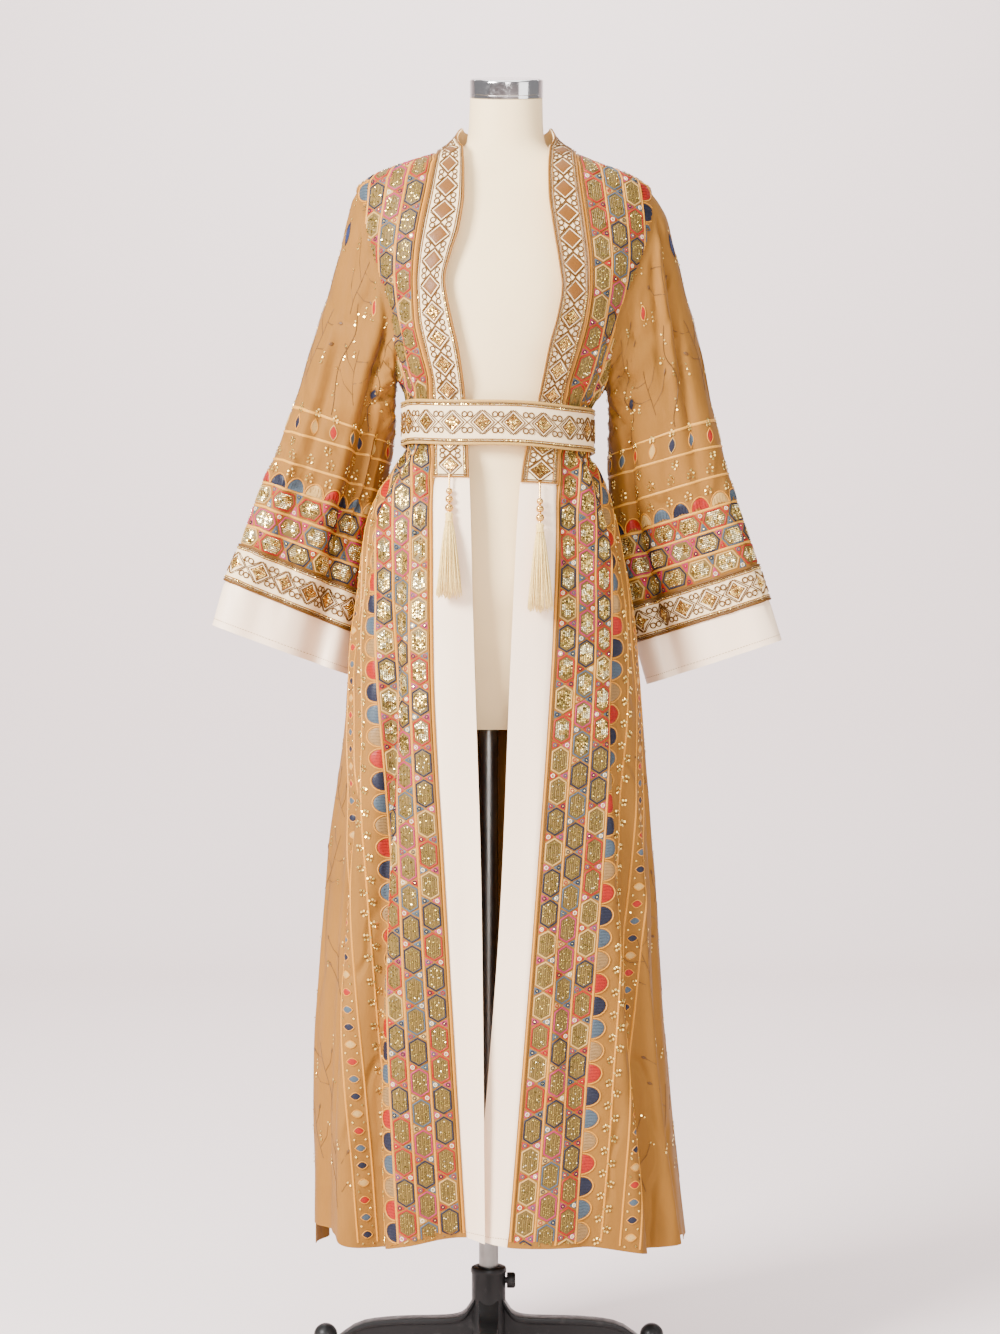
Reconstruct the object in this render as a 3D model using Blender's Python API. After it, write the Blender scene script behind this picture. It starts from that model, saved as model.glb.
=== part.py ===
"""Open-front abaya cloak, belted, on a limbless dress form with a pole and a four-legged iron base.

Metres, +Z up, the front faces -Y. The origin is on the floor below the middle of the cloak.
Left and right are the wearer's: the wearer's left is at +X.

The body of the cloak is one swept surface, read at an angle round the figure and a height. Its
horizontal sections come from BODY. Angle 0 is the middle of the front, +90 the wearer's left side,
-90 the right side and 180 the middle of the back. Each cut piece is a patch of that surface, given
a wall. A cloth's named surface is its outer face, and its wall lies inside it.
"""
import math

import bmesh
import bpy
import numpy as np
from mathutils import Matrix, Vector

# ---- driving dimensions ------------------------------------------------------------------------
SEAM_GAP = 0.0003            # between two cloth pieces that are sewn together
SEAM_ANGLE = 0.035           # degrees that a side seam's edges keep from the side line
CLOTH = 0.0016               # wall of the tan cloth
TRIM = 0.0014                # wall of the diamond trim
TRIM_LIFT = 0.0018           # how far the trim's face stands off the cloth below it
BELT_WALL = 0.0030
BELT_HEIGHT = 0.058
BELT_LIFT = 0.0056           # from the gathered cloth to the belt's face
BELT_MIDDLE_Z = 1.2785
BELT_STEP = 7.5              # degrees between the belt's columns
ROUNDNESS = 2.3              # exponent of the body's horizontal sections

COLLAR_TOP_Z = 1.689
COLLAR_SEAM_Z = 1.6545       # where the trim's outer edge crosses the shoulder seam
SHOULDER_Z = 1.604           # outer end of the shoulder seam
UNDERARM_Z = 1.339
ARMHOLE_GAP = 0.0009         # the sleeve's start keeps this from the panels, twice it on the shoulder
ARMHOLE_BITE = 27.5          # degrees that the armhole cuts in from the side line at its deepest
TRIM_END_Z = 1.208           # lower end of the front trim, below the belt
BELT_TILT = 0.011            # how much higher the belt sits at the wearer's right side

POLE_X = -0.0113
POLE_RADIUS = 0.0130
POLE_CLEARANCE = 0.0004
POLE_FOOT_Z = 0.012          # low enough to stay 4 cm inside the hub when raised 10 cm
HUB_RADIUS = 0.0240
HUB_TOP_Z = 0.154
HUB_FOOT_Z = 0.052
LEG_REACH = 0.220            # from the pole's axis to each foot's axis
FOOT_RADIUS = 0.016
FOOT_TOP_Z = 0.077
TORSO_FLOOR_Z = 0.880
NECK_TOP_Z = 1.731
NECK_TILT = math.radians(15.0)
CAP_RADIUS = 0.0496
CAP_HEIGHT = 0.0250
CAP_CENTRE = (0.0128, -0.004)
SCREW_Z = 0.135
SCREW_HEAD_RADIUS = 0.0105
HEM_LEVEL = 0.21             # where the hem row's edges are read; its heights come from the hems

COLOURS = {                  # base colour, roughness, metallic
    "tan_cloth": ((0.56, 0.34, 0.15), 0.75, 0.0),
    "cream_cloth": ((0.88, 0.80, 0.74), 0.55, 0.0),
    "diamond_trim": ((0.80, 0.66, 0.48), 0.5, 0.2),
    "tassel_silk": ((0.86, 0.74, 0.45), 0.5, 0.0),
    "gold_bead": ((0.80, 0.55, 0.22), 0.25, 0.9),
    "form_cover": ((0.83, 0.72, 0.55), 0.6, 0.0),
    "cap_chrome": ((0.75, 0.75, 0.76), 0.15, 1.0),
    "pole_steel": ((0.55, 0.54, 0.52), 0.3, 1.0),
    "black_iron": ((0.02, 0.02, 0.022), 0.5, 0.3),
}


class Table:
    """Rows of sizes with named columns, read smoothly in between (monotone cubic)."""

    def __init__(self, columns, rows):
        self.names = columns.split()
        data = np.array(sorted(rows), dtype=float)
        self.keys = data[:, 0]
        self.columns = {name: data[:, i] for i, name in enumerate(self.names)}
        self.slopes = {name: self._slopes(data[:, i]) for i, name in enumerate(self.names)}

    def _slopes(self, values):
        step = np.diff(self.keys)
        rise = np.diff(values) / step
        slopes = np.zeros(len(values))
        slopes[0], slopes[-1] = rise[0], rise[-1]
        for i in range(1, len(values) - 1):
            if rise[i - 1] * rise[i] > 0.0:
                near = 2.0 * step[i] + step[i - 1]
                far = step[i] + 2.0 * step[i - 1]
                slopes[i] = (near + far) / (near / rise[i - 1] + far / rise[i])
        return slopes

    def __call__(self, name, key):
        key = np.clip(key, self.keys[0], self.keys[-1])
        i = np.clip(np.searchsorted(self.keys, key, side="right") - 1, 0, len(self.keys) - 2)
        step = self.keys[i + 1] - self.keys[i]
        f = (key - self.keys[i]) / step
        low, high = self.columns[name][i], self.columns[name][i + 1]
        slope_low, slope_high = self.slopes[name][i], self.slopes[name][i + 1]
        return ((1 + 2 * f) * (1 - f) ** 2 * low + f * (1 - f) ** 2 * step * slope_low
                + f * f * (3 - 2 * f) * high + f * f * (f - 1) * step * slope_high)


# Horizontal sections of the worn cloak: side points, and how far it stands out in front and behind.
BODY = Table("z right_x left_x front_y back_y", [
    (1.6890, -0.0452, 0.0697, -0.046, 0.068),
    (1.6720, -0.0590, 0.0815, -0.054, 0.077),
    (1.6545, -0.0800, 0.1040, -0.062, 0.087),
    (1.6370, -0.1330, 0.1440, -0.072, 0.097),
    (1.6225, -0.1690, 0.1830, -0.079, 0.103),
    (1.6040, -0.1900, 0.2090, -0.086, 0.109),
    (1.5500, -0.1900, 0.2200, -0.103, 0.117),
    (1.4900, -0.1770, 0.2050, -0.117, 0.120),
    (1.4400, -0.1590, 0.1820, -0.126, 0.118),
    (1.4000, -0.1490, 0.1690, -0.127, 0.113),
    (1.3390, -0.1345, 0.1465, -0.119, 0.105),
    (1.3230, -0.1256, 0.1350, -0.111, 0.101),
    (1.3130, -0.1215, 0.1250, -0.105, 0.099),
    (1.2440, -0.1215, 0.1240, -0.105, 0.099),
    (1.2340, -0.1290, 0.1330, -0.110, 0.104),
    (1.2100, -0.1440, 0.1450, -0.117, 0.113),
    (1.1870, -0.1600, 0.1530, -0.123, 0.121),
    (1.1410, -0.1780, 0.1640, -0.132, 0.132),
    (1.0640, -0.1877, 0.1790, -0.142, 0.144),
    (0.9990, -0.1970, 0.1877, -0.147, 0.149),
    (0.9000, -0.2035, 0.1960, -0.152, 0.154),
    (0.7830, -0.2147, 0.2039, -0.157, 0.160),
    (0.6480, -0.2265, 0.2133, -0.162, 0.167),
    (0.5130, -0.2365, 0.2214, -0.167, 0.174),
    (0.3510, -0.2440, 0.2349, -0.172, 0.182),
    (0.1800, -0.2450, 0.2530, -0.177, 0.190),
])

# Long folds of the skirt. A fold runs at a steady angle from its top to the hem, and its depth
# grows to the hem: minus is a valley. Power sets how late it grows.
FOLDS = [  # (angle, half width in degrees, depth, top z, power)
    (-40.0, 4.5, -0.0280, 1.12, 0.55),
    (-50.0, 6.0, 0.0130, 1.12, 0.6),
    (-69.0, 6.0, -0.0110, 0.95, 0.8),
    (-24.0, 7.0, 0.0080, 1.00, 0.9),
    (44.0, 5.0, 0.0100, 0.98, 0.6),
    (53.0, 4.0, -0.0170, 0.98, 0.6),
    (63.0, 4.5, 0.0160, 0.56, 1.1),
    (73.0, 4.5, -0.0180, 0.66, 1.0),
    (26.0, 6.0, -0.0080, 0.90, 0.9),
    (105.0, 8.0, 0.0140, 1.05, 0.9),
    (122.0, 7.0, -0.0150, 1.10, 0.9),
    (139.0, 8.0, 0.0130, 1.00, 0.9),
    (156.0, 7.5, -0.0140, 1.08, 0.9),
    (174.0, 8.0, 0.0120, 1.02, 1.0),
    (-168.0, 7.0, -0.0130, 1.06, 0.9),
    (-151.0, 8.0, 0.0140, 1.04, 0.9),
    (-133.0, 7.5, -0.0150, 1.10, 0.8),
    (-116.0, 7.5, 0.0120, 1.00, 0.9),
    (-101.0, 6.5, -0.0120, 1.02, 0.9),
]

# Gathers that the belt draws in, strongest just below and above it.
GATHERS = [  # (angle, half width in degrees, depth)
    (-66.0, 5.0, -0.0050),
    (-52.0, 5.0, 0.0045),
    (-40.0, 4.5, -0.0040),
    (38.0, 4.5, -0.0040),
    (50.0, 5.0, 0.0045),
    (64.0, 5.0, -0.0050),
    (118.0, 6.0, 0.0045),
    (132.0, 6.0, -0.0045),
    (164.0, 7.0, 0.0045),
    (180.0, 6.0, -0.0045),
    (-160.0, 7.0, 0.0045),
    (-134.0, 6.0, -0.0045),
    (-116.0, 6.0, 0.0040),
]

# The front edges: where the tan panel ends (panel) and where the opening begins (inner), by height.
RIGHT_EDGE = Table("z panel inner", [
    (1.6890, -0.0783, -0.0450),
    (1.6545, -0.0783, -0.0440),
    (1.6200, -0.0850, -0.0428),
    (1.5880, -0.0910, -0.0425),
    (1.5420, -0.0998, -0.0480),
    (1.5020, -0.1052, -0.0600),
    (1.4700, -0.1070, -0.0668),
    (1.4260, -0.1055, -0.0595),
    (1.3740, -0.0975, -0.0490),
    (1.3130, -0.0863, -0.0410),
    (1.2080, -0.0845, -0.0360),
    (0.9980, -0.0825, -0.0300),
    (0.6620, -0.0657, -0.0200),
    (0.1800, -0.0370, -0.0150),
])
LEFT_EDGE = Table("z panel inner", [
    (1.6890, 0.1040, 0.0695),
    (1.6545, 0.1040, 0.0690),
    (1.6200, 0.1065, 0.0670),
    (1.5880, 0.1105, 0.0672),
    (1.5500, 0.1154, 0.0715),
    (1.4880, 0.1212, 0.0806),
    (1.4600, 0.1213, 0.0836),
    (1.4200, 0.1167, 0.0774),
    (1.3860, 0.1089, 0.0682),
    (1.3420, 0.0964, 0.0595),
    (1.3130, 0.0885, 0.0538),
    (1.2080, 0.0804, 0.0313),
    (0.9980, 0.0725, 0.0190),
    (0.6620, 0.0493, 0.0050),
    (0.1800, 0.0110, -0.0330),
])
EDGES = {"right": RIGHT_EDGE, "left": LEFT_EDGE}

# The skirt's front edges wave near the hem: how far each satin band's free edge stands in front of
# (minus) or behind the cloak's round form, and how far the panel's own edge is drawn back.
BAND_WAVE = Table("z right_free left_free right_panel left_panel", [
    (1.2080, -0.0005, 0.0005, 0.000, 0.000),
    (0.9000, -0.0030, 0.0030, 0.000, 0.000),
    (0.6600, -0.0040, 0.0070, 0.002, 0.000),
    (0.4500, -0.0020, 0.0130, 0.010, 0.000),
    (0.1800, -0.0010, 0.0170, 0.024, -0.003),
])

# Hem heights by angle round the body: the fronts hang a little shorter than the back.
FRONT_HEM = Table("angle z", [
    (-90.0, 0.221), (-60.0, 0.219), (-42.0, 0.206), (-25.0, 0.216), (-8.0, 0.226),
    (4.0, 0.217), (25.0, 0.214), (50.0, 0.200), (70.0, 0.207), (90.0, 0.199),
])
BACK_HEM = Table("angle z", [
    (90.0, 0.190), (130.0, 0.186), (180.0, 0.184), (230.0, 0.186), (270.0, 0.185),
])

# Heights that every panel, trim and band shares, so that their edges meet.
SKIRT_LEVELS = (0.300, 0.420, 0.550, 0.690, 0.830, 0.960, 1.060, 1.130, 1.180, TRIM_END_Z)
WAIST_LEVELS = (1.234, 1.2445, 1.3125, 1.3250)
ARMHOLE_TURNS = np.linspace(0.0, math.pi, 13)
CHEST_SHARE = (ARMHOLE_TURNS / math.pi + (1.0 - np.cos(ARMHOLE_TURNS)) / 2.0) / 2.0
CHEST_LEVELS = COLLAR_SEAM_Z + (UNDERARM_Z - COLLAR_SEAM_Z) * CHEST_SHARE

# Rings of each sleeve: its outer and inner edge points, their y, and half the ring's depth.
SLEEVE = {
    "right": Table("s outer_x outer_z inner_x inner_z outer_y inner_y depth", [
        (0.00, -0.1917, 1.6000, -0.1370, 1.3370, 0.008, 0.000, 0.055),
        (0.08, -0.1990, 1.5750, -0.1378, 1.3280, 0.010, 0.002, 0.056),
        (0.17, -0.2106, 1.5296, -0.1382, 1.3180, 0.012, 0.006, 0.058),
        (0.28, -0.2295, 1.4607, -0.1385, 1.3030, 0.014, 0.014, 0.060),
        (0.38, -0.2484, 1.4040, -0.1390, 1.2860, 0.015, 0.024, 0.062),
        (0.50, -0.2768, 1.3141, -0.1420, 1.2650, 0.015, 0.048, 0.062),
        (0.58, -0.3031, 1.2447, -0.1540, 1.2000, 0.014, 0.068, 0.058),
        (0.66, -0.3200, 1.2050, -0.1690, 1.1550, 0.013, 0.080, 0.055),
        (0.76, -0.3470, 1.1290, -0.1830, 1.0650, 0.012, 0.084, 0.052),
        (0.88, -0.3679, 1.0800, -0.1930, 1.0080, 0.011, 0.080, 0.049),
        (1.00, -0.3854, 1.0196, -0.2040, 0.9520, 0.010, 0.070, 0.046),
    ]),
    "left": Table("s outer_x outer_z inner_x inner_z outer_y inner_y depth", [
        (0.00, 0.2110, 1.6000, 0.1490, 1.3370, 0.008, 0.000, 0.055),
        (0.08, 0.2200, 1.5750, 0.1503, 1.3280, 0.010, 0.002, 0.056),
        (0.17, 0.2309, 1.5390, 0.1511, 1.3170, 0.012, 0.006, 0.058),
        (0.28, 0.2511, 1.4580, 0.1518, 1.3000, 0.014, 0.014, 0.060),
        (0.38, 0.2660, 1.4040, 0.1525, 1.2820, 0.015, 0.024, 0.062),
        (0.50, 0.2909, 1.2960, 0.1520, 1.2500, 0.015, 0.048, 0.062),
        (0.58, 0.3110, 1.2245, 0.1535, 1.1780, 0.014, 0.068, 0.058),
        (0.66, 0.3235, 1.1867, 0.1590, 1.1370, 0.013, 0.080, 0.055),
        (0.76, 0.3529, 1.1016, 0.1750, 1.0440, 0.012, 0.084, 0.052),
        (0.88, 0.3686, 1.0537, 0.1900, 0.9960, 0.011, 0.080, 0.049),
        (1.00, 0.3854, 0.9994, 0.2060, 0.9390, 0.010, 0.070, 0.046),
    ]),
}
SLEEVE_END = 0.88            # the sleeve's seam with the cuff, as a share of its length
SLEEVE_TRIM_START = 0.76
SLEEVE_CREASES = [           # (share round the ring, half width, depth, start, end)
    (0.335, 0.030, -0.0160, 0.30, 0.99),
    (0.400, 0.030, 0.0040, 0.34, 0.99),
    (0.190, 0.035, -0.0060, 0.20, 0.90),
    (0.620, 0.040, -0.0100, 0.25, 0.99),
    (0.780, 0.040, -0.0070, 0.30, 0.99),
]

# The dress form: half width, front and back, smooth and plain, with sloping shoulders.
TORSO = Table("z half_x front_y back_y", [
    (1.7310, 0.0490, -0.050, 0.048),
    (1.6950, 0.0500, -0.050, 0.051),
    (1.6700, 0.0530, -0.050, 0.055),
    (1.6560, 0.0640, -0.051, 0.060),
    (1.6430, 0.0900, -0.055, 0.068),
    (1.6280, 0.1270, -0.061, 0.077),
    (1.6100, 0.1500, -0.067, 0.085),
    (1.5800, 0.1660, -0.077, 0.095),
    (1.5300, 0.1660, -0.092, 0.103),
    (1.4400, 0.1480, -0.111, 0.104),
    (1.3900, 0.1370, -0.111, 0.099),
    (1.3300, 0.1170, -0.098, 0.088),
    (1.2800, 0.1080, -0.088, 0.082),
    (1.2400, 0.1090, -0.088, 0.084),
    (1.1600, 0.1320, -0.098, 0.098),
    (1.0600, 0.1520, -0.108, 0.110),
    (0.9600, 0.1500, -0.104, 0.106),
    (0.8980, 0.1420, -0.096, 0.098),
    (0.8800, 0.1330, -0.088, 0.090),
])

TASSELS = {                  # hung under the front trim's ends
    "right": {"x": -0.0620, "cord_z": 1.206, "bead_z": (1.184, 1.1735, 1.1620), "head_z": 1.1560,
              "head_end_z": 1.1425, "tip_z": 1.0430},
    "left": {"x": 0.0560, "cord_z": 1.1990, "bead_z": (1.1745, 1.1645, 1.1530), "head_z": 1.1455,
             "head_end_z": 1.1325, "tip_z": 1.0290},
}
BEAD_RADII = (0.0044, 0.0052, 0.0056)
CORD_RADIUS = 0.0014
TASSEL_HEAD_RADIUS = 0.0056
TASSEL_SPREAD = 0.0185
STRANDS_IN_RINGS = (5, 8, 11)
STRAND_WIDTH = 0.0031


# ---- small helpers -----------------------------------------------------------------------------
def clear_scene():
    for thing in list(bpy.data.objects):
        bpy.data.objects.remove(thing, do_unlink=True)


def material(name):
    if name in bpy.data.materials:
        return bpy.data.materials[name]
    colour, roughness, metallic = COLOURS[name]
    made = bpy.data.materials.new(name)
    made.use_nodes = True
    shader = made.node_tree.nodes["Principled BSDF"]
    shader.inputs["Base Color"].default_value = (*colour, 1.0)
    shader.inputs["Roughness"].default_value = roughness
    shader.inputs["Metallic"].default_value = metallic
    return made


def add_object(name, shape, material_name, parent=None):
    mesh = bpy.data.meshes.new(name)
    bmesh.ops.recalc_face_normals(shape, faces=shape.faces)
    shape.to_mesh(mesh)
    shape.free()
    mesh.materials.append(material(material_name))
    mesh.shade_smooth()
    mesh.set_sharp_from_angle(angle=math.radians(40.0))
    thing = bpy.data.objects.new(name, mesh)
    bpy.context.scene.collection.objects.link(thing)
    if parent is not None:
        thing.parent = parent
        thing.matrix_parent_inverse = parent.matrix_world.inverted()
    return thing


def ramp(value, low, high):
    """Smooth step from 0 at low to 1 at high; low may be above high."""
    f = np.clip((value - low) / (high - low), 0.0, 1.0)
    return f * f * (3.0 - 2.0 * f)


def bell(distance):
    return np.exp(-distance * distance)


def angle_between(angle, centre):
    return (angle - centre + 180.0) % 360.0 - 180.0


# ---- the body's surface ------------------------------------------------------------------------
def belt_rise(angle, level):
    """How much the cloak is lifted at an angle where the belt sits askew."""
    near_belt = ramp(level, 1.09, 1.20) * ramp(level, 1.43, 1.33)
    return BELT_TILT * (1.0 - np.sin(np.radians(angle))) / 2.0 * near_belt


def body_point(angle, level):
    """A point of the cloak's outer face, before any lift, at an angle and a level, which is its
    height but near the belt, where levels rise with it."""
    side = np.sin(np.radians(angle))
    forward = np.cos(np.radians(angle))
    right, left = BODY("right_x", level), BODY("left_x", level)
    middle = (right + left) / 2.0
    half = (left - right) / 2.0
    depth = np.where(forward > 0.0, -BODY("front_y", level), BODY("back_y", level))
    power = 2.0 / ROUNDNESS
    push = 0.0
    for centre, width, size, top, growth in FOLDS:
        amount = np.clip((top - level) / (top - 0.2), 0.0, 1.0) ** growth
        push = push + size * amount * bell(angle_between(angle, centre) / width)
    belt_pull = ramp(level, 1.02, 1.215) * ramp(level, 1.2445, 1.230)
    belt_pull = belt_pull + 0.8 * ramp(level, 1.3125, 1.335) * ramp(level, 1.43, 1.34)
    for centre, width, size in GATHERS:
        push = push + size * belt_pull * bell(angle_between(angle, centre) / width)
    x = middle + (half + push) * np.sign(side) * np.abs(side) ** power
    y = -(depth + push) * np.sign(forward) * np.abs(forward) ** power
    return np.stack(np.broadcast_arrays(x, y, level + belt_rise(angle, level)), axis=-1)


def angle_at_x(x, z):
    """The angle, in front, at which the body's section passes through x."""
    right, left = BODY("right_x", z), BODY("left_x", z)
    share = np.clip((x - (right + left) / 2.0) / ((left - right) / 2.0), -1.0, 1.0)
    return np.degrees(np.arcsin(np.sign(share) * np.abs(share) ** (ROUNDNESS / 2.0)))


def front_point(x, z):
    return body_point(angle_at_x(x, z), z)


def body_normal(angle, z):
    step = 0.6
    across = body_point(angle + step, z) - body_point(angle - step, z)
    along = body_point(angle, z + 0.002) - body_point(angle, z - 0.002)
    normal = np.cross(across, along)
    return normal / np.linalg.norm(normal, axis=-1, keepdims=True)


def armhole_angle(turn):
    """Degrees from the front at which the armhole runs; turn is 0 at the shoulder, pi below."""
    return 90.0 - ARMHOLE_BITE * np.abs(np.sin(turn)) ** 0.8


def armhole_z(turn):
    return SHOULDER_Z + (UNDERARM_Z - SHOULDER_Z) * (1.0 - np.cos(turn)) / 2.0


# ---- walls -------------------------------------------------------------------------------------
def grid_normals(points, closed):
    """Unit normals of a grid of points [row, column, xyz]."""
    if closed:
        across = np.roll(points, -1, axis=1) - np.roll(points, 1, axis=1)
    else:
        across = np.gradient(points, axis=1)
    along = np.gradient(points, axis=0)
    normals = np.cross(across, along)
    length = np.linalg.norm(normals, axis=-1, keepdims=True)
    return normals / np.maximum(length, 1e-12)


def wall(name, points, thickness, material_name, closed=False, normals=None, parent=None):
    """A thin closed body: points is its outer face, and the wall goes in against the normals.

    Every cell is split along the same diagonal, so that cloths that lie on each other stay apart.
    """
    rows, columns, _ = points.shape
    if normals is None:
        normals = grid_normals(points, closed)
    inner = points - normals * thickness
    shape = bmesh.new()
    outer_verts = [[shape.verts.new(p) for p in row] for row in points]
    inner_verts = [[shape.verts.new(p) for p in row] for row in inner]
    spans = columns if closed else columns - 1
    for i in range(rows - 1):
        for j in range(spans):
            k = (j + 1) % columns
            low, right = outer_verts[i][j], outer_verts[i][k]
            top, left = outer_verts[i + 1][k], outer_verts[i + 1][j]
            shape.faces.new((low, right, top))
            shape.faces.new((low, top, left))
            low, right = inner_verts[i][j], inner_verts[i][k]
            top, left = inner_verts[i + 1][k], inner_verts[i + 1][j]
            shape.faces.new((top, right, low))
            shape.faces.new((left, top, low))
    for j in range(spans):
        k = (j + 1) % columns
        shape.faces.new((inner_verts[0][j], inner_verts[0][k], outer_verts[0][k], outer_verts[0][j]))
        shape.faces.new((outer_verts[-1][j], outer_verts[-1][k],
                         inner_verts[-1][k], inner_verts[-1][j]))
    if not closed:
        for i in range(rows - 1):
            shape.faces.new((outer_verts[i][0], outer_verts[i + 1][0],
                             inner_verts[i + 1][0], inner_verts[i][0]))
            shape.faces.new((inner_verts[i][-1], inner_verts[i + 1][-1],
                             outer_verts[i + 1][-1], outer_verts[i][-1]))
    return add_object(name, shape, material_name, parent)


def loft(name, rings, material_name, parent=None):
    """A solid through closed rings of points, capped at both ends."""
    shape = bmesh.new()
    verts = [[shape.verts.new(p) for p in ring] for ring in rings]
    count = len(rings[0])
    for low, high in zip(verts, verts[1:]):
        for j in range(count):
            k = (j + 1) % count
            shape.faces.new((low[j], low[k], high[k], high[j]))
    shape.faces.new(verts[0][::-1])
    shape.faces.new(verts[-1])
    return add_object(name, shape, material_name, parent)


def turned(name, profile, segments, material_name, place=Matrix.Identity(4), parent=None):
    """A solid turned about Z from (radius, z) points, whose ends lie on the axis."""
    rings = [[(r * math.cos(2 * math.pi * j / segments), r * math.sin(2 * math.pi * j / segments), z)
              for j in range(segments)] for r, z in profile]
    rings = [[place @ Vector(p) for p in ring] for ring in rings]
    return loft(name, rings, material_name, parent)


# ---- the cloak's pieces ------------------------------------------------------------------------
def patch(name, angles, levels, thickness, material_name, lift=0.0, sway=0.0):
    """One cut piece of the body's surface, from grids of angles and levels, columns left to right
    as the wearer turns, rows upward. Sway is added to y."""
    normals = body_normal(angles, levels)
    points = body_point(angles, levels) + normals * lift
    points[..., 1] += sway
    return wall(name, points, thickness, material_name, normals=normals, parent=FORM)


def front_panel(side):
    """From the front edge round to the side seam, with the armhole and the shoulder seam."""
    sign = 1.0 if side == "left" else -1.0
    seam = 90.0 - SEAM_ANGLE
    edge = EDGES[side]
    share = np.array([0.0, 0.05, 0.12, 0.19, 0.26, 0.33, 0.39, 0.44, 0.49, 0.54, 0.59, 0.64, 0.70,
                      0.76, 0.82, 0.88, 0.94, 1.0])
    rows = [(level, level, seam) for level in (HEM_LEVEL,) + SKIRT_LEVELS + WAIST_LEVELS]
    for turn, front_level in zip(ARMHOLE_TURNS[::-1], CHEST_LEVELS[::-1]):
        rows.append((front_level, armhole_z(turn), min(armhole_angle(turn), seam)))
    angles, levels = [], []
    for front_level, side_level, limit in rows:
        start = angle_at_x(edge("panel", front_level), front_level)
        if front_level > COLLAR_SEAM_Z - 0.001:
            start = sign * seam
        angles.append(start + (sign * limit - start) * share)
        levels.append(front_level + (side_level - front_level) * share)
    angles, levels = np.array(angles), np.array(levels)
    levels[0] = FRONT_HEM("z", angles[0])
    sway = BAND_WAVE(side + "_panel", levels) * (1.0 - ramp(share, 0.0, 0.30))
    if side == "right":
        angles, levels, sway = angles[:, ::-1], levels[:, ::-1], sway[:, ::-1]
    patch("front_" + side, angles, levels, CLOTH, "tan_cloth", sway=sway)


def back_panel():
    """From side seam to side seam, up to the shoulder seams and the neck."""
    half = np.linspace(0.0, 1.0, 14)
    seam = 90.0 + SEAM_ANGLE
    neck_share = half[6]         # the share of each half that the shoulder seam takes at the top
    neck_round = np.clip((half - neck_share) / (1.0 - neck_share), 0.0, 1.0)
    shoulder_rise = np.clip(half / neck_share, 0.0, 1.0)
    rows = [(level, level, seam, 0.0) for level in (HEM_LEVEL,) + SKIRT_LEVELS + WAIST_LEVELS]
    for turn, back_level in zip(ARMHOLE_TURNS[::-1], CHEST_LEVELS[::-1]):
        climb = ramp(math.pi - turn, 0.45 * math.pi, math.pi)
        rows.append((back_level, armhole_z(turn), max(180.0 - armhole_angle(turn), seam), climb))
    angles, levels = [], []
    for middle_level, side_level, limit, climb in rows:
        round_share = half + (neck_round - half) * climb
        rise_share = half + (shoulder_rise - half) * climb
        angle = limit + (180.0 - limit) * round_share
        level = side_level + (middle_level - side_level) * rise_share
        angles.append(np.concatenate([angle, 360.0 - angle[-2::-1]]))
        levels.append(np.concatenate([level, level[-2::-1]]))
    angles, levels = np.array(angles), np.array(levels)
    levels[0] = BACK_HEM("z", angles[0])
    levels[-1] -= SEAM_GAP
    patch("back_panel", angles, levels, CLOTH, "tan_cloth")


def strip_grid(side, levels, low_share, high_share):
    """Angles across a front edge strip, from the opening (0) to the panel's edge (1)."""
    edge = EDGES[side]
    share = np.linspace(low_share, high_share, 4)
    level_grid = np.repeat(np.array(levels)[:, None], 4, axis=1)
    x = edge("inner", level_grid) + (edge("panel", level_grid) - edge("inner", level_grid)) * share
    return angle_at_x(x, level_grid), level_grid, share


def front_trim(side):
    """The diamond trim on one front edge, from its lower end up to the shoulder seam."""
    sign = 1.0 if side == "left" else -1.0
    levels = [TRIM_END_Z + 0.0008] + list(WAIST_LEVELS) + list(CHEST_LEVELS[:0:-1])
    angles, levels, share = strip_grid(side, levels, 0.0, 1.0)
    seam = np.full((1, 4), sign * (90.0 - SEAM_ANGLE))
    angles = np.concatenate([angles, seam])
    levels = np.concatenate([levels, [COLLAR_TOP_Z + (COLLAR_SEAM_Z - COLLAR_TOP_Z) * share]])
    if side == "right":
        angles, levels = angles[:, ::-1], levels[:, ::-1]
    patch("front_trim_" + side, angles, levels, TRIM, "diamond_trim", lift=TRIM_LIFT)


def collar_trim():
    """The trim round the back of the neck, seam to seam."""
    seam = 90.0 + SEAM_ANGLE
    levels, angles = np.meshgrid(np.linspace(COLLAR_SEAM_Z, COLLAR_TOP_Z, 4),
                                 np.linspace(seam, 360.0 - seam, 17), indexing="ij")
    patch("collar_trim", angles, levels, TRIM, "diamond_trim", lift=TRIM_LIFT)


def front_band(side):
    """The plain satin band along one front edge, from below the trim to the hem."""
    width_gap = 0.01             # share of the band's width that its seam takes
    levels = (HEM_LEVEL,) + SKIRT_LEVELS
    angles, levels, share = strip_grid(side, levels, 0.0, 1.0 - width_gap)
    levels[0] = FRONT_HEM("z", angles[0])
    free = BAND_WAVE(side + "_free", levels)
    sway = free + (BAND_WAVE(side + "_panel", levels) - free) * share
    if side == "right":
        angles, levels, sway = angles[:, ::-1], levels[:, ::-1], sway[:, ::-1]
    patch("front_band_" + side, angles, levels, CLOTH, "cream_cloth", sway=sway)


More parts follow.
